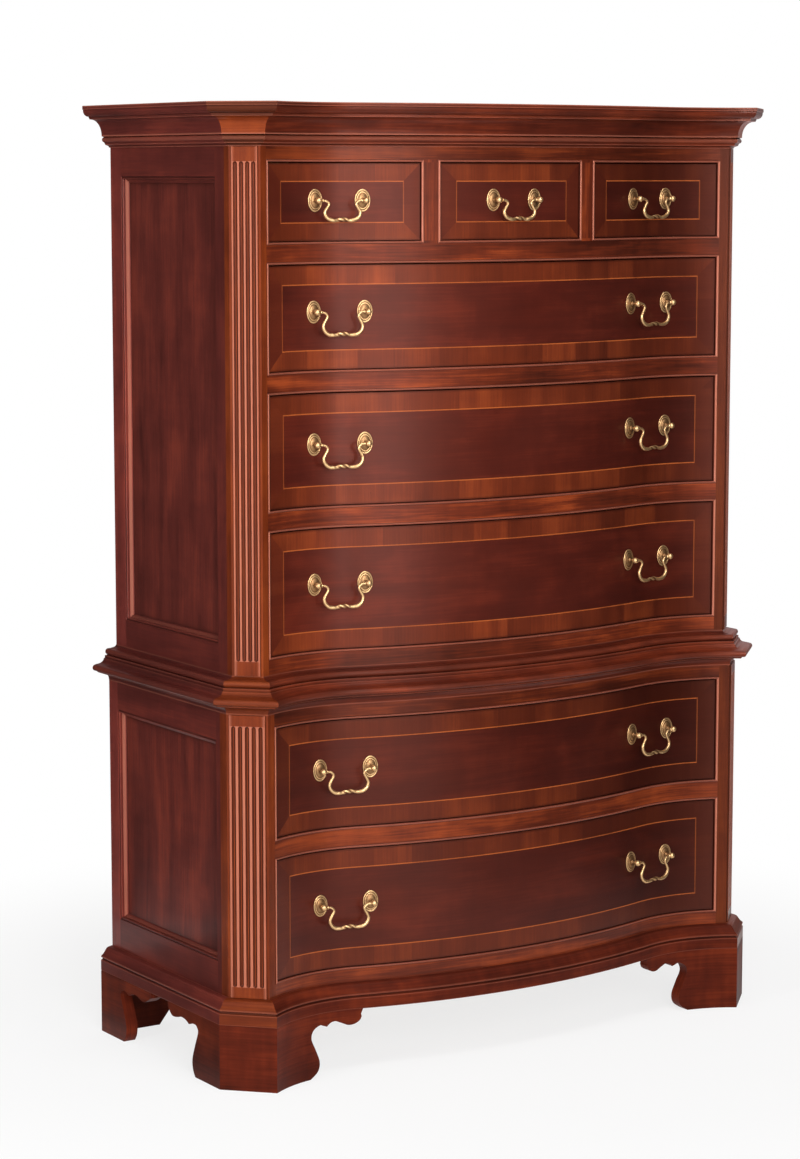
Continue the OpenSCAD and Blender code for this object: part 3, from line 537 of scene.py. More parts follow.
caseWood = woodMaterial("caseMahogany", caseLooks, finish=caseFinish)
footWood = woodMaterial("footMahogany", footLooks, finish=footFinish)
sideWood = woodMaterial("sideMahogany", sideLooks, finish=satinLooks)
railWood = woodMaterial("bandMahogany", railLooks)
postWood = woodMaterial("postMahogany", postLooks, finish=caseFinish)
beadWood = woodMaterial("beadMahogany", beadLooks)
frontWood = buildFrontMaterial()
panelWood = woodMaterial("panelMahogany", panelLooks, finish=satinLooks)
topWood = woodMaterial("topMahogany", panelLooks, order=(0, 1, 2))
plainWood = woodMaterial("secondaryWood", plainLooks, order=(0, 1, 2), finish=bareLooks)
plainDeep = woodMaterial("secondaryWoodDeep", plainLooks, order=(1, 0, 2), finish=bareLooks)
plainUpright = woodMaterial("secondaryWoodUpright", plainLooks, order=(2, 0, 1), finish=bareLooks)
brass = buildBrass()
print("materials made")


# Mouldings. Of each: the heights of the painted light band on its cants, the tones of its cants (painted shade) and
# sides, and how strongly a painted highlight lightens its edges.
mould = {
    "crown": {"litBand": (17.5, 43), "cant": -0.7, "side": 0.15, "paintedLight": 1.2},
    "waist": {"litBand": (0, 0), "cant": -0.18, "side": -0.25, "paintedLight": 0.8},
    "base": {"litBand": (0, 0), "cant": -0.18, "side": 0.05, "paintedLight": 0.7},
    "litBandTone": 0.15, "quirkShade": 0.6, "steps": 121, "inner": 0.3,
}


def denser(profile, reach=1.4, least=2.5):
    # long straight runs get a point near each end, so that the glaze and painted shade stay in the quirks
    after = np.roll(profile, -1, axis=0)
    length = np.linalg.norm(after - profile, axis=1)
    points = []
    for start, stop, run in zip(profile, after, length):
        points.append(start)
        if run > least * reach:
            step = (stop - start) * reach / run
            points += [start + step, stop - step]
    return np.array(points)


def paintedLight(profile, blur=1.2):
    # turning of a closed outline gathered over a short way: above 0 in the quirks, below 0 on the edges
    before, after = np.roll(profile, 1, axis=0), np.roll(profile, -1, axis=0)
    a, b = profile - before, after - profile
    turn = np.arctan2(a[:, 0] * b[:, 1] - a[:, 1] * b[:, 0], (a * b).sum(axis=1))
    area = (profile[:, 0] * after[:, 1] - profile[:, 1] * after[:, 0]).sum()
    way = np.linalg.norm(profile[:, None] - profile[None], axis=-1)
    return np.clip(-np.sign(area) * (np.exp(-(way / blur) ** 2) @ turn), -1, 1)


def sweepMoulding(key, base, profile, wood):
    # a closed profile of (offset, height) carried round the side, the cant and the serpentine front, mitred;
    # the sides are of the frames' wood and the cants of the posts'
    look = mould[key]
    profile = denser(np.asarray(profile, float))
    glazeShadeAndHighlight = paintedLight(profile)
    glazeShadeAndHighlight = np.append(glazeShadeAndHighlight, glazeShadeAndHighlight[0])
    # painted shade and glaze in the quirks, a painted highlight on the edges
    glazeShadeAndHighlight = np.where(glazeShadeAndHighlight > 0, mould["quirkShade"] * glazeShadeAndHighlight, look["paintedLight"] * glazeShadeAndHighlight)
    ring = np.vstack([profile, profile[:1]])
    offset, height = ring[:, 0], ring[:, 1] + base
    edgeX, edgeY = cantFront(offset)
    sideX, sideY = halfWidth + offset, sideCornerY(offset)
    frontX = np.linspace(-1, 1, mould["steps"])[:, None] * edgeX[None, :]
    back = np.full_like(offset, backY)
    front = xyz(frontX, frontY(frontX, offset[None, :]), height)
    front[0, :, 1] = front[-1, :, 1] = edgeY
    side = xyz([sideX, sideX], [back, sideY], height)
    cant = xyz([sideX, edgeX], [sideY, edgeY], height)
    low, high = look["litBand"]
    # the cants get a painted light band between the heights and painted shade outside it
    cantLightAndShade = np.where((ring[:, 1] > low) & (ring[:, 1] < high), mould["litBandTone"], look["cant"])
    runs = ((side * (-1, 1, 1), look["side"], 2), (cant * (-1, 1, 1), cantLightAndShade, 1), (front, 0, 0),
            (cant, cantLightAndShade, 1), (side, look["side"], 2))
    parts = [patch(run, tone=tone, material=kind, recess=glazeShadeAndHighlight) for run, tone, kind in runs]
    parts += [cap(xyz(turn * sideX[:-1], back[:-1], height[:-1]), (0, 2)) for turn in (1, -1)]
    makePiece(key + "Moulding", parts, "carcass", key + "_moulding", [wood, postWood, sideWood], 28)


def buildMouldings():
    inner = mould["inner"]
    top = crownHigh[2] - crownLow[2]
    sweepMoulding("crown", crownLow[2], np.vstack([
        [(inner, 0), (2.6, 0.4), (2.9, 2.2), (9.2, 4.6), (9.5, 6.2)], arcPoints(10.5, 12.2, 4, 4, -82, 82, 9),
        [(13.2, 16.9), (15, 17.4), (15, 18)], arcPoints(33, 18, 18, 25, 180, 90, 14),
        [(36, 43.3), (36, 45), (37, 45.2), (37, 47)], arcPoints(37.6, 56.4, 9.2, 9.2, -88, 0, 8),
        [(46.6, 57.6), (47.4, 58), (48, 58.6), (48, top - 0.8), (47.2, top), (inner, top)]]), caseWood)
    top, seat = waistHigh[2] - waistLow[2], seamZ - waistLow[2]
    sweepMoulding("waist", waistLow[2], np.vstack([
        [(caseStep + inner, 0)], arcPoints(23.6, 0.5, 9.5, 12.3, 178, 92, 7),
        [(24, 13.6), (33, 13.8), (34.5, 14.6), (34.5, 16.7), (36.4, 17.2)],
        arcPoints(38.1, 22, 4.9, 4.9, -82, 84, 10), [(37.4, 27.3), (36, 27.7)],
        arcPoints(35.2, 36.2, 12.4, 8.4, -90, -176, 7),
        [(21.2, 36.4), (20.8, 37), (20.8, 40.4), (16.9, 40.9)], arcPoints(15, 46.2, 5, 5, -72, 104, 9),
        [(12.8, 51.2), (9, 51.4)], arcPoints(9, top + 0.1, 8.7, 4.7, -90, -178, 6),
        [(inner, top), (inner, seat), (caseStep + inner, seat)]]), caseWood)
    top = baseHigh[2] - baseLow[2]
    out = baseHigh[0] - halfWidth
    inset = np.array([0.4, 0, 0, 0.5, 2.6, 3, 2.4, 0.6, 0.1, 0.6, 1.8, 4.2, 6.4, 8.6, 10.6, 13.6, 17.6, 18.4])
    height = [0, 0.5, 16.6, 17.2, 18.2, 19.4, 20.6, 21.2, 22.4, 23.6, 24.6, 26.6, 29.4, 33, 35.4, 36.9, 37.6, top]
    sweepMoulding("base", baseLow[2], np.vstack([
        [(caseStep + inner, 0)], np.column_stack([out - inset, height]), [(caseStep + inner, top)]]), footWood)
    print("mouldings made")


# Corner posts with their fluted pilasters
pilaster = {
    "upper": {"width": 40, "flutes": 4, "pitch": 9.25, "plain": 22},
    "lower": {"width": 56, "flutes": 5, "pitch": 10.5, "plain": 17},
    "proud": 2.5, "radius": 3.35, "depth": 2.6, "ease": 0.6, "root": 0.6,
    # painted shade in the flutes, and a painted highlight on their arrises and on the face's edges
    "shade": (0.25, 0.5), "arris": -1.6, "edge": -1.3,
    # the right posts get painted shade
    "tones": {"Left": -0.06, "Right": -0.5}, "lift": 0.06,
}


def pilasterParts(key):
    # the face is a grid whose lines run along each flute's edges and close at its round ends
    radius, depth, proud, ease, root = (pilaster[k] for k in ("radius", "depth", "proud", "ease", "root"))
    shape = pilaster[key]
    offset, low, high = cases[key]
    half = shape["width"] / 2
    chord = math.sqrt(radius ** 2 - (radius - depth) ** 2)
    swing = np.sin(np.radians(np.linspace(-90, 90, 11)))
    past = chord * np.cos(np.radians(np.linspace(0, 90, 8)))
    start, stop = low + shape["plain"] + chord, high - shape["plain"] - chord
    z = np.concatenate([[low, low + ease], start - past, stop + past[::-1], [high - ease, high]])
    beyond = np.concatenate([[chord, chord], past, past[::-1], [chord, chord]])[:, None]
    mouth = np.sqrt(np.maximum(chord ** 2 - beyond ** 2, 0))
    centres = (np.arange(shape["flutes"]) - (shape["flutes"] - 1) / 2) * shape["pitch"]
    fluted = (centres[None, :, None] + mouth[:, None] * swing).reshape(len(z), -1)
    sunk = np.sqrt(np.maximum(radius ** 2 - (mouth * swing) ** 2 - beyond ** 2, 0))
    sunk = np.maximum(sunk - (radius - depth), 0) * (mouth > 0)
    inward = np.tile(sunk, (1, shape["flutes"])) - proud
    wall = np.ones((len(z), 1))
    across = np.hstack([wall * -half, wall * -half, wall * (ease - half), fluted,
                        wall * (half - ease), wall * half, wall * half])
    inward = np.hstack([wall * root, wall * (ease - proud), wall * -proud, inward,
                        wall * -proud, wall * (ease - proud), wall * root])
    inward[0, 1:-1] = inward[-1, 1:-1] = root
    inward[1, 1:-1] = np.minimum(inward[1, 1:-1], -proud)
    edgeX, edgeY = cantFront(offset)
    middle = np.array([halfWidth + offset + edgeX, sideCornerY(offset) + edgeY]) / 2
    turn = math.sqrt(0.5)
    face = xyz(middle[0] + turn * (across - inward), middle[1] + turn * (across + inward), z[:, None])
    share = (inward + proud) / depth
    # painted shade in the flutes, a painted highlight on the arrises and on the face's edges
    shade = np.where(share > 0.05, pilaster["shade"][0] + pilaster["shade"][1] * share, 0.0)
    arris = (mouth > 0) & (share[:, 3:-3] <= 0.05)
    shade[:, 3:-3] = np.where(arris, pilaster["arris"], shade[:, 3:-3])
    shade[:, [2, -3]] = pilaster["edge"]
    return face, shade


def buildPosts():
    # each post is a block of the plan between the stile and the side, with its pilaster laid on the cant
    for key in cases:
        offset, node = cases[key][0], key + "_posts"
        nodeLow, nodeHigh = boxOf(node)
        across = np.linspace(postX, cantFront(offset)[0], 7)
        plan = np.vstack([[(postX, railBackY)], np.column_stack([across, frontY(across, offset)]),
                          [(halfWidth + offset, sideCornerY(offset)), (halfWidth + offset, railBackY)]])
        face, shade = pilasterParts(key)
        for side, turn in sides:
            tone = rng.uniform(-0.03, 0.05) + pilaster["tones"][side]
            parts = prism(plan * (turn, 1), nodeLow[2], nodeHigh[2], tone)
            parts.append(patch(face * (turn, 1, 1), tone=tone + pilaster["lift"], recess=shade))
            parts.append(patch(np.stack([face[:, 0], face[:, -1]], 1) * (turn, 1, 1), tone=tone))
            makePiece("post" + key.capitalize() + side, parts, "carcass", node, [postWood], 40)
    print("posts made")


# Framed sides
sideFrame = {
    "upper": {"backStile": 34, "frontStile": 27, "topRail": 44, "lowRail": 43},
    "lower": {"backStile": 28, "frontStile": 12, "topRail": 43.6, "lowRail": 49},
    "mouldWidth": 10, "recess": 10,
    "tones": {"front": -0.04, "back": 0.6, "low": -0.02, "top": 0.03}, "endTone": -0.2,
    # painted shade in the quirk and at the foot of the moulded edge, a painted highlight on its arris and round
    # nose, and one on the slope below the nose
    "glazeShadeAndHighlight": (-0.5, 0.6, 0.7, 0.4, -0.3, -0.5, -0.5, -0.3, 0.1, 0.4, 0.0, 0.0, 0.0, 0.3, 0.8, 1.0),
    "slope": (10, 13), "slopeHighlight": {"front": 0.0, "back": -1.1, "low": -0.5, "top": -0.2},
}


def buildSideFrames():
    # three columns and rows of cells without the middle one, then the moulded edge, the back and the rims
    wide, recess, tones = (sideFrame[k] for k in ("mouldWidth", "recess", "tones"))
    thickness = case["sideThickness"]
    steps = np.vstack([[(0, 0), (0.3, -1.1), (0.9, -1.3), (2.2, -1.2)], arcPoints(2.6, -2.6, 1.5, 1.5, 60, -10, 4),
                       [(4.3, -4.6), (4.6, -5.7), (6.4, -7.1), (8.2, -8.5), (wide, -recess + 0.1),
                        (wide, -recess - 0.2), (wide, -thickness)]])
    inset, drop = steps[:, :1], steps[:, 1:]
    for key, (offset, low, high) in cases.items():
        shape, node = sideFrame[key], key + "_side_frames"
        nodeLow, nodeHigh = boxOf(node)
        faceX = halfWidth + offset
        y = np.array([railBackY, railBackY + shape["frontStile"], backY - shape["backStile"], backY])
        z = np.array([nodeLow[2], low + shape["lowRail"], high - shape["topRail"], nodeHigh[2]])
        for side, turn in sides:
            seats = {k: newSeat() for k in ("front", "back", "low", "top")}
            x = turn * np.array([faceX, faceX - thickness])
            parts = []
            for i, j in ((0, 0), (0, 1), (0, 2), (2, 0), (2, 1), (2, 2), (1, 0), (1, 2)):
                member = ("front", "", "back")[i] or ("low", "", "top")[j]
                for level in x:
                    grid = sheet(0, level, y[i:i + 2], z[j:j + 2])
                    uv = grid[..., [2, 1]] if i != 1 else grid[..., [1, 2]]
                    parts.append(patch(grid, seat=seats[member], tone=tones[member], uv=uv * mm))
            for member, fixed, ends in (("front", 1, None), ("back", 2, None), ("low", None, 1), ("top", None, 2)):
                deep = np.hstack([y[1] + inset, y[2] - inset])
                tall = np.hstack([z[1] + inset, z[2] - inset])
                if fixed:
                    deep = deep[:, [fixed - 1]]
                else:
                    tall = tall[:, [ends - 1]]
                glazeShadeAndHighlight = np.array(sideFrame["glazeShadeAndHighlight"])[:, None]
                # a painted highlight on the slope, strongest beside the back stile
                glazeShadeAndHighlight[slice(*sideFrame["slope"])] = sideFrame["slopeHighlight"][member]
                grid = xyz(turn * (faceX + drop), deep, tall)
                parts.append(patch(grid, 1, seats[member], tones[member], recess=glazeShadeAndHighlight))
            ring = np.array([(y[1], z[1]), (y[2], z[1]), (y[2], z[2]), (y[1], z[2]), (y[1], z[1])])
            way = np.array([(1, 1), (-1, 1), (-1, -1), (1, -1), (1, 1)]) * wide
            back = xyz(x[1], *np.moveaxis([ring, ring + way], -1, 0))
            parts.append(patch(back, 1, seats["low"]))
            for i in range(3):
                for level in (z[0], z[3]):
                    parts.append(patch(sheet(2, level, x, y[i:i + 2]), 1, tone=sideFrame["endTone"]))
                for level, member in ((y[0], "front"), (y[3], "back")):
                    parts.append(patch(sheet(1, level, x, z[i:i + 2]), 1, seats[member], tones[member]))
            makePiece("sideFrame" + key.capitalize() + side, parts, "carcass", node, [sideWood], 28)
    print("side frames made")


# Flat panels in the frames' grooves; glaze and painted shade gather along the edge that shows
panel = {"thickness": 7, "groove": 7,
         "near": np.array([0, 1.5, 5, 11, 22]), "glazeAndShade": np.array([0.6, 0.4, 0.2, 0.08, 0])}


def buildSidePanels():
    near, glazeAndShade, groove, inset = panel["near"], panel["glazeAndShade"], panel["groove"], sideFrame["mouldWidth"]
    for key, (offset, low, high) in cases.items():
        shape = sideFrame[key]
        lines, shades = [], []
        for start, stop in ((railBackY + shape["frontStile"], backY - shape["backStile"]),
                            (low + shape["lowRail"], high - shape["topRail"])):
            start, stop = start + inset, stop - inset
            lines.append(np.concatenate([[start - groove], start + near, stop - near[::-1], [stop + groove]]))
            shades.append(np.concatenate([[1], glazeAndShade, glazeAndShade[::-1], [1]]))
        y, z = np.meshgrid(*lines, indexing="ij")
        # glaze and painted shade along the edges that show
        shade = np.maximum(shades[0][:, None], shades[1][None, :])
        for side, turn in sides:
            seat = newSeat()
            face, back = (xyz(turn * (halfWidth + offset - depth), y, z)
                          for depth in (sideFrame["recess"], sideFrame["recess"] + panel["thickness"]))
            parts = [patch(face, 1, seat, recess=shade), patch(back, 1, seat)]
            for index in (0, -1):
                parts.append(patch(np.stack([face[index], back[index]], 0), 1, seat))
                parts.append(patch(np.stack([face[:, index], back[:, index]], 1), 1, seat))
            name = "sidePanel" + key.capitalize() + side
            makePiece(name, parts, "carcass", "side_panels", [panelWood])
    print("side panels made")


# Openings, read from the drawer fronts: left, right, low, high and the offset of their case's face
def openingOf(number):
    low, high = boxOf("drawer_%d_front" % number)
    return {"left": low[0] - opening["sideGap"], "right": high[0] + opening["sideGap"],
            "low": low[2] - opening["lowGap"], "high": high[2] + opening["topGap"],
            "offset": caseStep if number >= 7 else 0.0}


openings = {number: openingOf(number) for number in range(1, 9)}
rail = {"rows": {"upper": (1, 4, 5, 6), "lower": (7, 8)}, "rebate": 0.1, "steps": 90,
        "dim": {"upper": 0, "lower": 0.1}, "topDim": 0.32}


def railParts(profile, tone):
    # a closed profile of (offset or None for the flat back, height) carried along the front
    x = np.linspace(-postX, postX, rail["steps"])[:, None]
    offsets, heights = zip(*profile, profile[0])
    y = [np.full_like(x, railBackY) if offset is None else frontY(x, offset) for offset in offsets]
    grid = xyz(x, np.hstack(y), heights)
    return [patch(grid, tone=tone), cap(grid[0, :-1], (1, 2)), cap(grid[-1, :-1], (1, 2))]


def railProfile(face, low, high, below, above):
    # the bead lies in the rebate in front of the wider part
    inner = face - bead["depth"] - rail["rebate"]
    under = bead["width"] if below else 0
    over = bead["width"] if above else 0
    profile = [(face, low), (face, high)]
    profile += [(inner, high), (inner, high + over)] if over else []
    profile += [(None, high + over), (None, low - under)]
    profile += [(inner, low - under), (inner, low)] if under else []
    return profile


def buildRails():
    edge = bead["width"]
    for key, rows in rail["rows"].items():
        offset, node = cases[key][0], key + "_front_rails"
        nodeLow, nodeHigh = boxOf(node)
        spans = [(nodeLow[2], openings[rows[-1]]["low"] - edge, False, True)]
        for above, below in zip(rows, rows[1:]):
            spans.append((openings[below]["high"] + edge, openings[above]["low"] - edge, True, True))
        spans.append((openings[rows[0]]["high"] + edge, nodeHigh[2], True, False))
        for index, span in enumerate(spans):
            dim = rail["dim"][key] if span[3] else rail["topDim"]
            parts = railParts(railProfile(offset, *span), rng.uniform(-0.04, 0.05) - dim)
            makePiece("rail%s%d" % (key.capitalize(), index + 1), parts, "carcass", node, [railWood])
    print("rails made")


# Two uprights in the top row, each with its partition and drawer guides behind
divider = {"gap": 0.1, "halfPartition": 6, "guideHeight": 24, "guideOver": 0.7, "seat": 0.3}


def buildDividers():
    low, high = openings[2]["low"], openings[2]["high"]
    inner, outer = openings[2]["right"], openings[3]["left"]
    nodeHigh = boxOf("upper_dividers")[1]
    edge, gap, half = bead["width"], divider["gap"], divider["halfPartition"]
    start, floor, top = railBackY + gap, low + opening["lowGap"] - divider["seat"], low + divider["guideHeight"]
    reach = (outer - inner) / 2 + divider["guideOver"]
    across = np.linspace(inner + edge, outer - edge, 7)
    front = np.column_stack([across, frontY(across, 0)])
    block = np.vstack([front, [(across[-1], railBackY), (across[0], railBackY)]])
    slab = np.vstack([front, np.column_stack([across[::-1], frontY(across[::-1], -bead["depth"])])])
    for side, turn in sides:
        parts = prism(block * (turn, 1), low + gap, high - gap)
        parts += prism(slab * (turn, 1), low - edge, low + gap)
        parts += prism(slab * (turn, 1), high - gap, high + edge)
        middle = turn * (inner + outer) / 2
        parts += board((middle - half, start, floor), (middle + half, nodeHigh[1], nodeHigh[2]))
        parts += board((middle - reach, start, floor), (middle - half, nodeHigh[1], top))
        parts += board((middle + half, start, floor), (middle + reach, nodeHigh[1], top))
        makePiece("divider" + side, parts, "carcass", "upper_dividers", [railWood])
    print("dividers made")


def buildBeads():
    # a round-nosed strip mitred round each opening; a is the distance out from the opening's edge
    half, depth, ease = bead["width"] / 2, bead["depth"], bead["ease"]
    curl = arcPoints(half, bead["proud"] - half + ease, half, half - ease, 180, 0, 10)
    profile = np.vstack([[(0, -depth)], curl, [(bead["width"], -depth), (0, -depth)]])
    a, proud = profile[:, 0], profile[:, 1]
    # the noses get a painted highlight, the upright ones most; the sides get painted shade and glaze
    level, upright = (np.interp(proud, (-1.5, 0.0, bead["proud"]), (1.0, 0.4, nose)) for nose in (-0.9, -2.0))
    for number, place in openings.items():
        left, right, low, high = (place[k] for k in ("left", "right", "low", "high"))
        t = np.linspace(0, 1, max(8, int((right - left) / bead["step"])) + 1)[:, None]
        lines = []
        for z, way in ((low, -1), (high, 1)):
            lines.append((left - a + t * (right - left + 2 * a), z + way * a, level))
        t = np.linspace(0, 1, 5)[:, None]
        for x, way in ((left, -1), (right, 1)):
            lines.append((x + way * a, low - a + t * (high - low + 2 * a), upright))
        parts = []
        for x, z, glazeShadeAndHighlight in lines:
            grid = xyz(x, frontY(x, place["offset"] + proud), z)
            parts.append(patch(grid, tone=rng.uniform(-0.05, 0.08), recess=glazeShadeAndHighlight))
        node = "lower_cock_beads" if number >= 7 else "upper_cock_beads"
        makePiece("cockBead%d" % number, parts, "carcass", node, [beadWood], sharp=40)
    print("cock beads made")


# Bracket feet
foot = {
    "thickness": 20, "frontPad": 77.5, "frontBracket": 168, "sidePad": 76, "sideBracket": 162,
    "rearExtra": 6, "backStart": 75, "backReach": 80, "gap": 0.1, "corner": 0.38, "bow": 1.15,
    # painted shade on the sides and backs, painted light on the cants and on the brackets' rims
    "tones": {"front": 0.0, "side": -0.25, "rearSide": -0.02, "back": -0.1, "cant": 0.16, "rim": 0.4, "top": -0.05},
}


def smoothed(points):
    points = np.asarray(points, float)
    return throughPoints(np.vstack([points[:1], points, points[-1:]]), 6)


def frontBracket(high):
    pad, end = foot["frontPad"], foot["frontBracket"]
    scroll = smoothed([(pad, 0), (pad + 14, 10), (pad + 17.5, 25), (pad + 10, 45), (pad + 2, high - 37),
                       (pad + 6, high - 24), (pad + 20, high - 17.6), (pad + 31, high - 22)])
    wave = smoothed([(end - 59.5, high - 22), (end - 53, high - 17), (end - 44, high - 15.5), (end - 33, high - 20),
                     (end - 23, high - 24), (end - 13, high - 23), (end - 5, high - 18), (end - 2, high - 12)])
    return np.vstack([scroll, wave, [(end - 3, high - 8), (end, high)]])


def sideBracket(high, extra):
    pad, end = foot["sidePad"], foot["sideBracket"]
    scroll = smoothed([(pad, 0), (pad + 7, 11), (pad + 8.5, 27), (pad, 50), (pad - 9.5, high - 28),
                       (pad - 7, high - 20.5), (pad - 1.4, high - 17.2), (pad + 8, high - 17.5),
                       (pad + 18, high - 20.8)])
    wave = smoothed([(end - 67, high - 20.8), (end - 57, high - 16.5), (end - 44, high - 15), (end - 32, high - 18),
                     (end - 21, high - 19.8), (end - 12, high - 18.5), (end + extra - 1, high - 9)])
    return np.vstack([scroll, wave, [(end + extra, high)]])


def backBracket(high):
    share = np.array([0, 0.13, 0.25, 0.38, 0.5, 0.65, 0.8, 1])
    return np.column_stack([foot["backStart"] + share * foot["backReach"], share * high])


def spine(outline, high):
    # the far boundary of a bracket's sheet: up the corner, then along the top, spaced as the outline is
    share = lengths(outline) / lengths(outline)[-1]
    up = np.clip(share / foot["corner"], 0, 1) * high
    out = np.clip((share - foot["corner"]) / (1 - foot["corner"]), 0, 1) ** foot["bow"] * outline[-1, 0]
    return np.column_stack([out, up])


def bracketParts(outline, high, carry, tone):
    # a sheet ruled between the outline and its spine, on the outer and the inner face, with its rim
    seat = newSeat()
    t = np.linspace(0, 1, 7)[:, None, None]
    ruled = spine(outline, high)[None] * (1 - t) + outline[None] * t
    outer, inner = carry(ruled, 0.0), carry(ruled, foot["thickness"])
    parts = [patch(grid, seat=seat, tone=tone, uv=ruled * mm) for grid in (outer, inner)]
    for first, second, extra in ((outer[-1], inner[-1], "rim"), (outer[0], inner[0], "top"),
                                 (outer[:, 0], inner[:, 0], "top")):
        parts.append(patch(np.stack([first, second], 1), 0, seat, tone + foot["tones"][extra]))
    return parts


def buildFeet():
    face, high, tones = baseHigh[0] - halfWidth, baseLow[2], foot["tones"]

    def onFront(grid, depth):
        offset, startX = face - depth, cantFront(face)[0]
        x = startX - grid[..., 0] + np.where(grid[..., 0] < 1e-6, cantFront(offset)[0] - startX, 0)
        return xyz(x, frontY(x, offset), grid[..., 1])

    def onSide(grid, depth):
        offset, startY = face - depth, sideCornerY(face)
        y = startY + grid[..., 0] + np.where(grid[..., 0] < 1e-6, sideCornerY(offset) - startY, 0)
        return xyz(halfWidth + offset, y, grid[..., 1])

    def onRearSide(grid, depth):
        return xyz(halfWidth + face - depth, backY - grid[..., 0], grid[..., 1])

    def onBack(grid, depth):
        return xyz(halfWidth + face - foot["thickness"] - foot["gap"] - grid[..., 0], backY - depth, grid[..., 1])

    corners = []
    for offset in (face, face - foot["thickness"]):
        corners.append([(halfWidth + offset, sideCornerY(offset)), cantFront(offset)])
    lowRing, highRing = (xyz(*np.moveaxis(corners, -1, 0), z) for z in (0.0, high))
    for side, turn in sides:
        front = bracketParts(frontBracket(high), high, onFront, tones["front"])
        front += bracketParts(sideBracket(high, 0), high, onSide, tones["side"])
        front.append(patch(np.stack([lowRing[0], highRing[0]], 1), tone=tones["cant"]))
        front.append(patch(np.stack([lowRing[1], highRing[1]], 1)))
        front += [patch(lowRing), patch(highRing)]
        rear = bracketParts(sideBracket(high, foot["rearExtra"]), high, onRearSide, tones["rearSide"])
        rear += bracketParts(backBracket(high), high, onBack, tones["back"])
        for end, parts in (("Front", front), ("Rear", rear)):
            for part in parts:
                part["points"] = part["points"] * (turn, 1, 1)
            node = "foot_%s_%s" % (end.lower(), side.lower())
            makePiece("foot" + end + side, parts, "carcass", node, [footWood], sharp=35, bevel=0.9)
    print("feet made")


# Drawer fronts
# dim darkens the fronts of the top row and of the lower case: painted shade
front = {"band": (0, 26, 26, 26, 28, 29, 28, 28, 28), "step": 12, "fall": 0.32, "fallFrom": 60, "fallTo": 100,
         "dim": (0, 0.12, 0.12, 0.12, 0, 0, 0, 0.2, 0.2), "endTone": -0.15, "bevel": 0.6}


def buildFronts():
    # a closed profile of front, rims and back carried across the opening, with the edge map for the bands
    for number, place in openings.items():
        left, right = place["left"] + opening["sideGap"], place["right"] - opening["sideGap"]
        low, high = place["low"] + opening["lowGap"], place["high"] - opening["topGap"]
        offset = place["offset"] - opening["frontRecess"]
        x = np.linspace(left, right, 2 * max(10, int((right - left) / front["step"])) + 1)[:, None]
        z = np.linspace(low, high, 9)[None, :]
        edge = np.stack(np.broadcast_arrays(np.minimum(x - left, right - x), np.minimum(z - low, high - z)), -1)
        seat, tone = newSeat(), rng.uniform(-0.05, 0.05) - front["dim"][number]
        # painted shade: the front darkens to the right
        away = np.clip((x - front["fallFrom"]) / (openingX - front["fallFrom"] - front["fallTo"]), 0, 1)
        face, back = (xyz(x, frontY(x, offset - depth), z) for depth in (0.0, opening["frontThickness"]))
        parts = [patch(face, 0, seat, tone - front["fall"] * away, edge=edge / front["band"][number]),
                 patch(back, 0, seat, tone, 1)]
        for index in (0, -1):
            parts.append(patch(np.stack([face[:, index], back[:, index]], 1), 0, seat, tone, 1))
            parts.append(patch(np.stack([face[index], back[index]], 0), 0, seat, tone + front["endTone"], 1))
        body = "drawer_%d" % number
        makePiece("drawerFront%d" % number, parts, body, body + "_front", [frontWood, caseWood],
                  bevel=front["bevel"])
    print("drawer fronts made")


# Pulls: their places come from the bails' hinges
pull = {
    "large": {"spacing": 82.5, "drop": 34.5}, "small": {"spacing": 76, "drop": 29.5}, "smallOn": (1, 2, 3),
    "reach": 16, "ball": 5, "rosetteWidth": 24.6, "rosetteHeight": 34.2, "rosetteSeat": 0.45,
    "arm": 2.35, "grip": 3.0, "pin": 1.5, "aged": 0.25,
}


def pullPlaces():
    places = []
    for joint in frame["joints"]:
        if joint["type"] != "hinge":
            continue
        axis = np.array(joint["axis"], float)
        angle = math.atan2(-axis[1], -axis[0])
        out = np.array([math.sin(angle), -math.cos(angle), 0])
        pin = np.array(joint["pos_m"], float) / mm
        number = int(joint["parent"].split("_")[1])
        size = "small" if number in pull["smallOn"] else "large"
        places.append({"name": joint["child"], "number": number, "angle": angle, "pin": pin, "size": size,
                       "base": pin - out * pull["reach"]})
    return places


def placed(points, angle, origin):
    # local X along the chord and -Y out of the drawer, turned about the vertical and moved
    x, y, z = points[..., 0], points[..., 1], points[..., 2]
    c, s = math.cos(angle), math.sin(angle)
    return xyz(origin[0] + c * x - s * y, origin[1] + s * x + c * y, origin[2] + z)


def turned(profile, turns, wide=1.0, high=1.0):
    # a profile of (radius, distance out, recess) turned about the local Y axis
    angle = np.linspace(0, 2 * math.pi, turns + 1)[None, :]
    radius, out, recess = (profile[:, k:k + 1] for k in range(3))
    return xyz(radius * np.cos(angle) * wide, -out, radius * np.sin(angle) * high), recess


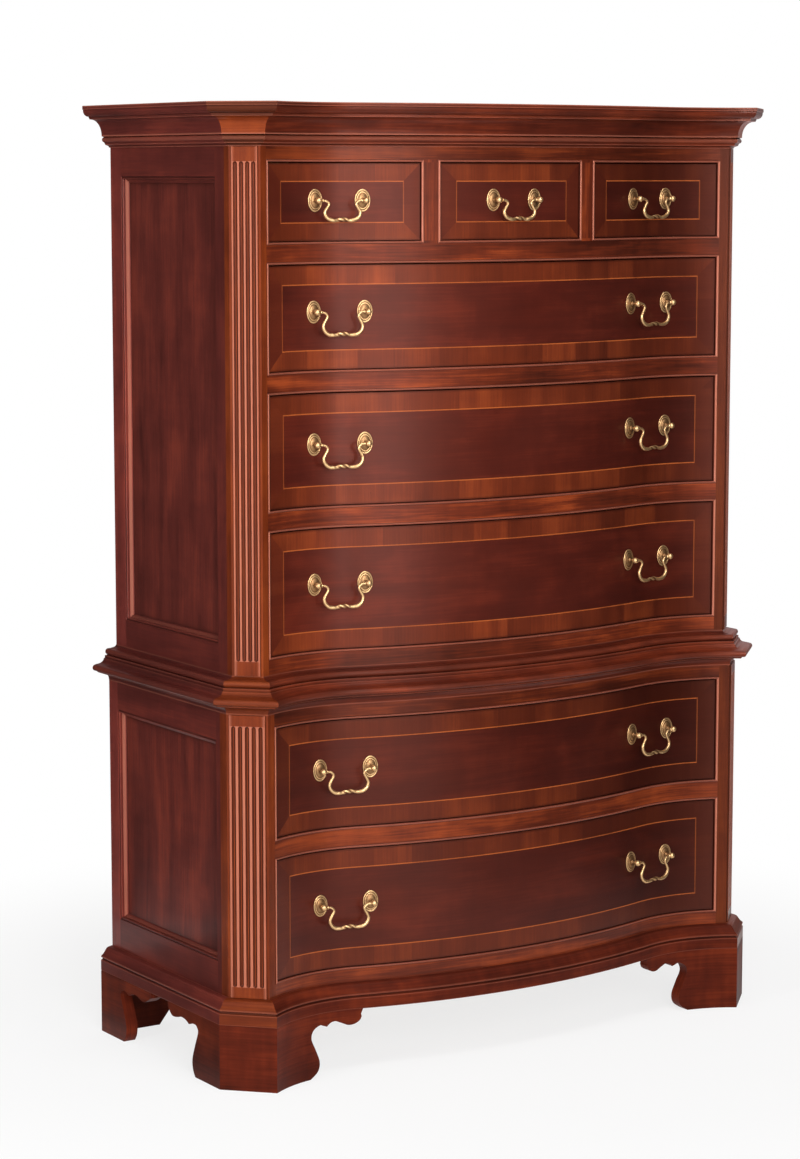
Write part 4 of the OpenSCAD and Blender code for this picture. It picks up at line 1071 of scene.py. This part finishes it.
def rosetteGrid():
    # an oval turned profile: rim ring, groove, bead and dished dome, the radius as a share of the oval's
    profile = np.array([(0.0, 0.0, 0), (1.0, 0.0, 0.6), (1.0, 0.5, 0.5), (0.975, 1.05, 0.1), (0.93, 1.4, 0),
                        (0.885, 1.4, 0), (0.85, 1.1, 0.5), (0.825, 0.95, 1), (0.8, 1.2, 0.8), (0.765, 1.75, 0.1),
                        (0.72, 1.9, 0), (0.68, 1.75, 0.5), (0.65, 1.7, 1), (0.6, 2.1, 0.6), (0.5, 2.75, 0.5),
                        (0.38, 3.3, 0.55), (0.27, 3.55, 0.6), (0.22, 3.6, 1), (0.2, 4.3, 0.6), (0.14, 4.5, 0.4),
                        (0.0, 4.5, 0.4)])
    profile[:, 2] = pull["aged"] + (1 - pull["aged"]) * profile[:, 2]
    return turned(profile, 48, pull["rosetteWidth"] / 2, pull["rosetteHeight"] / 2)


def postGrid():
    # turned post from inside the front to its ball
    stem = [(0, -20, 0), (2.4, -20, 0), (2.4, 4.2, 0.6), (3.4, 4.4, 0.8), (3.7, 5.0, 0.5), (3.7, 5.6, 0.4),
            (3.1, 6.3, 0.9), (2.35, 7.4, 0.7), (2.15, 8.6, 0.6), (2.5, 10.2, 0.8)]
    dome = arcPoints(0, pull["reach"], pull["ball"], pull["ball"], -64, 90, 12)
    return turned(np.vstack([stem, np.column_stack([dome, np.zeros(len(dome))])]), 24)


def buildPullMounts():
    places = pullPlaces()
    oval, ovalRecess = rosetteGrid()
    post, postRecess = postGrid()
    for number in openings:
        offset = openings[number]["offset"] - opening["frontRecess"]
        parts = []
        for place in (p for p in places if p["number"] == number):
            along = np.array([math.cos(place["angle"]), math.sin(place["angle"]), 0])
            for side in (-1, 1):
                seat = place["base"] + side * pull[place["size"]]["spacing"] / 2 * along
                slope = frontSlope(seat[0], offset)
                out = np.array([math.sin(slope), -math.cos(slope), 0]) * pull["rosetteSeat"]
                parts.append(patch(placed(oval, slope, seat + out), recess=ovalRecess))
                parts.append(patch(placed(post, place["angle"], seat), recess=postRecess))
        body = "drawer_%d" % number
        makePiece("pullMounts%d" % number, parts, body, body + "_pull_mounts", [brass], sharp=60)
    print("rosettes and posts made")


def bailPath(size):
    # the swan neck from its knob at the ball to the middle of the grip: across, down and radius
    half, drop = pull[size]["spacing"] / 2, pull[size]["drop"]
    arm, grip = pull["arm"], pull["grip"]
    knob = half - pull["ball"]
    points = np.array([
        (knob - 0.5, 0, 2.5), (knob - 1.6, 0, 2.7), (knob - 2.6, 0, 2.0), (knob - 3.6, -0.1, 1.75),
        (half - 12.5, -1.2, arm - 0.4), (half - 15.6, -0.12 * drop, arm - 0.4),
        (half - 16, -0.22 * drop, arm - 0.3), (half - 14, -0.33 * drop, arm - 0.2),
        (half - 11.6, -0.45 * drop, arm), (half - 9.8, -0.58 * drop, arm + 0.1),
        (half - 10.4, -0.73 * drop, arm + 0.3), (half - 13.6, -0.87 * drop, arm + 0.5),
        (half - 19, 1 - drop, arm + 0.6), (half - 24.5, 0.2 - drop, arm + 0.4), (half - 29, 0.6 - drop, arm + 0.1),
        (half - 33, 1.3 - drop, arm + 0.3), (half - 37, 1.8 - drop, grip - 0.2), (0, 2 - drop, grip)])
    return throughPoints(np.vstack([points[:1], points, points[-2:-1] * (-1, 1, 1)]), 5)


def bailGrid(size):
    # a round bar along the path, with two twisted leaves and a roped middle cut into the grip
    half = bailPath(size)
    path = np.vstack([half, half[-2::-1] * (-1, 1, 1)])
    x, z, bar = path[:, 0:1], path[:, 1:2], path[:, 2:3]
    tangent = np.gradient(path[:, :2], axis=0)
    tangent /= np.linalg.norm(tangent, axis=1, keepdims=True)
    tangent[0] = tangent[-1] = (tangent[0, 0] / abs(tangent[0, 0]), 0)
    angle = np.linspace(0, 2 * math.pi, 21)[None, :]
    near = np.abs(x)
    rope = np.clip((11 - near) / 3, 0, 1) * (z < -20)
    leaf = np.exp(-((near - 14.5) / 4.5) ** 2) * (z < -20)
    wave = np.sin(2 * angle + np.sign(x) * near * 0.62)
    radius = bar * (1 + 0.13 * rope * wave + 0.16 * leaf * np.cos(angle - near * 0.3))
    recess = np.clip(rope * (0.5 - 0.5 * wave) + 0.3 * leaf, 0, 1)
    outward = radius * np.cos(angle)
    return xyz(x + outward * tangent[:, 1:2], radius * np.sin(angle), z - outward * tangent[:, 0:1]), recess


def pinGrid(size, side):
    # the pin that runs into the ball's bore
    stop = side * pull[size]["spacing"] / 2
    start = stop - side * (pull["ball"] + 0.5)
    angle = np.linspace(0, 2 * math.pi, 17)[None, :]
    radius = np.array([[0], [pull["pin"]], [pull["pin"]], [0]])
    x = np.array([[start], [start], [stop], [stop]])
    return xyz(x, radius * np.cos(angle), radius * np.sin(angle))


def buildBails():
    bars = {size: bailGrid(size) for size in ("small", "large")}
    for place in pullPlaces():
        size, angle, pin, name = (place[k] for k in ("size", "angle", "pin", "name"))
        bar, recess = bars[size]
        grid = placed(bar, angle, pin)
        parts = [patch(grid, recess=recess), cap(grid[0, :-1]), cap(grid[-1, :-1])]
        parts += [patch(placed(pinGrid(size, side), angle, pin), recess=0.6) for side in (-1, 1)]
        makePiece("bail" + name[4:], parts, name, name, [brass], sharp=60)
    print("bails made")


# CAD nodes that stay as they are get their wood here
dressed = {"upper_dust_boards": plainWood, "upper_bottom_board": plainWood, "lower_dust_board": plainWood,
           "lower_case_boards": plainWood, "back_boards": plainUpright, "top_panel": topWood}
dressed.update({"drawer_%d_box" % number: plainDeep for number in openings})


def dressNodes():
    for node, material in dressed.items():
        frame["nodes"][node].data.materials.clear()
        frame["nodes"][node].data.materials.append(material)
    print("CAD nodes dressed")


# Floor, light and camera
studio = {
    "floor": 7.0, "paper": (0.93, 0.928, 0.925, 1), "paperShade": (0.95, 0.948, 0.945, 1), "fade": (0.6, 1.4),
    "glow": 0.78, "ambient": 0.4,
    "lamps": {
        "main": {"place": (-1.65, -3.8, 2.05), "aim": (-0.5, 0.0, 1.2), "size": (1.4, 1.6), "power": 17,
                 "spread": 66},
        "key": {"place": (-3.45, -1.0, 1.35), "aim": (-0.4, -0.1, 0.75), "size": (0.4, 2.5), "power": 40},
        "strip": {"place": (0.22, -4.02, 1.3), "aim": (-0.1, 0.0, 0.75), "size": (0.9, 2.4), "power": 24},
        "above": {"place": (-0.3, -1.6, 3.6), "aim": (0.0, 0.0, 0.7), "size": (1.8, 0.5), "power": 30},
        "fill": {"place": (3.2, -1.6, 1.8), "aim": (0.0, 0.0, 0.7), "size": (1.4, 2.0), "power": 4},
    },
    # flags seen only in the polish, each glowing with its colour: an edge in plan, how far the other edge lies from
    # it, and the colour
    "flags": {"right": ((0.25, -1.45), (1.35, 0.4), (0, 0, 2.8), (0.02, 0.016, 0.015, 1)),
              "left": ((-1.73, 0.26), (-0.22, 1.25), (0, 0, 2.8), (0.02, 0.016, 0.015, 1)),
              "rear": ((1.35, 0.4), (0.95, 0.92), (0, 0, 2.8), (0.75, 0.54, 0.54, 1)),
              "back": ((0.95, 0.92), (-0.22, 1.25), (0, 0, 2.8), (0.3, 0.18, 0.17, 1)),
              "mat": ((-0.54, -0.3), (-0.54, 0.6), (-1.1, 0.25, 0), (0.03, 0.024, 0.022, 1))},
    "flagLow": 0.002,
}
photoCamera = {"place": (-2.718, -4.066, 1.370), "turn": (82.465, 0.0, -32.917), "lens": 95.46,
               "sensor": 36, "far": 60}


def seenRays(tree):
    rays = addNode(tree, "LightPath")
    return calc(tree, "MAXIMUM", calc(tree, "MAXIMUM", rays["Is Camera Ray"], rays["Is Glossy Ray"]),
                rays["Is Transmission Ray"])


def stageSheet(name, corners, material):
    mesh = bpy.data.meshes.new(name)
    mesh.from_pydata(corners, [], [(0, 1, 2, 3)])
    mesh.materials.append(material)
    item = newObject(name, mesh)
    return item


def buildFloor():
    # away from the object the paper runs out into the white background
    material, tree, shader = newMaterial("studioPaper")
    place = objectVector(tree)
    grime = noise(tree, place, scale=2, detail=3)
    colour = mixColour(tree, grime, studio["paper"], studio["paperShade"])
    feedAll(tree, shader, {"Base Color": colour, "Roughness": 0.7, "Specular IOR Level": 0.2})
    away = addNode(tree, "VectorMath", {0: place}, operation="LENGTH")["Value"]
    run = times(tree, seenRays(tree), spread(tree, away, *studio["fade"], studio["glow"], 1.0))
    blend = addNode(tree, "MixShader", {0: run, 1: shader.outputs[0], 2: addNode(tree, "Emission")[0]})
    feed(tree, tree.nodes["Material Output"].inputs["Surface"], blend[0])
    half = studio["floor"]
    stageSheet("studioFloor", [(-half, -half, 0), (half, -half, 0), (half, half, 0), (-half, half, 0)], material)


def buildLights():
    for name, (start, stop, reach, shown) in studio["flags"].items():
        cloth, tree, shader = newMaterial(name + "Cloth")
        feedAll(tree, shader, {"Base Color": (0, 0, 0, 1), "Emission Color": shown, "Emission Strength": 1.0})
        near = np.array([(*start, studio["flagLow"]), (*stop, studio["flagLow"])])
        flag = stageSheet(name + "Flag", [*near, *(near[::-1] + reach)], cloth)
        flag.visible_camera = flag.visible_diffuse = flag.visible_shadow = flag.visible_transmission = False
    for name, lamp in studio["lamps"].items():
        light = bpy.data.lights.new(name + "Softbox", "AREA")
        light.shape = "RECTANGLE"
        light.size, light.size_y = lamp["size"]
        light.energy = lamp["power"]
        light.spread = math.radians(lamp.get("spread", 180))
        holder = newObject(name + "Softbox", light)
        holder.location = lamp["place"]
        holder.rotation_euler = (Vector(lamp["aim"]) - Vector(lamp["place"])).to_track_quat("-Z", "Y").to_euler()
        holder.visible_camera = False
    world = bpy.data.worlds.new("studioRoom")
    world.use_nodes = True
    bpy.context.scene.world = world
    tree = world.node_tree
    background = tree.nodes["Background"]
    strength = spread(tree, seenRays(tree), 0.0, 1.0, studio["ambient"], 1.0)
    feedAll(tree, background, {"Strength": strength, "Color": (1, 1, 1, 1)})


def buildCamera():
    camera = newObject("photoCamera", bpy.data.cameras.new("photoCamera"))
    camera.location = photoCamera["place"]
    camera.rotation_euler = [math.radians(a) for a in photoCamera["turn"]]
    camera.data.lens = photoCamera["lens"]
    camera.data.sensor_width = photoCamera["sensor"]
    camera.data.clip_end = photoCamera["far"]
    bpy.context.scene.camera = camera
    bpy.context.scene.view_settings.view_transform = "Standard"
    print("studio made")


for build in (buildMouldings, buildPosts, buildSideFrames, buildSidePanels, buildRails, buildDividers,
              buildBeads, buildFeet, buildFronts, buildPullMounts, buildBails, dressNodes, buildFloor,
              buildLights, buildCamera):
    build()
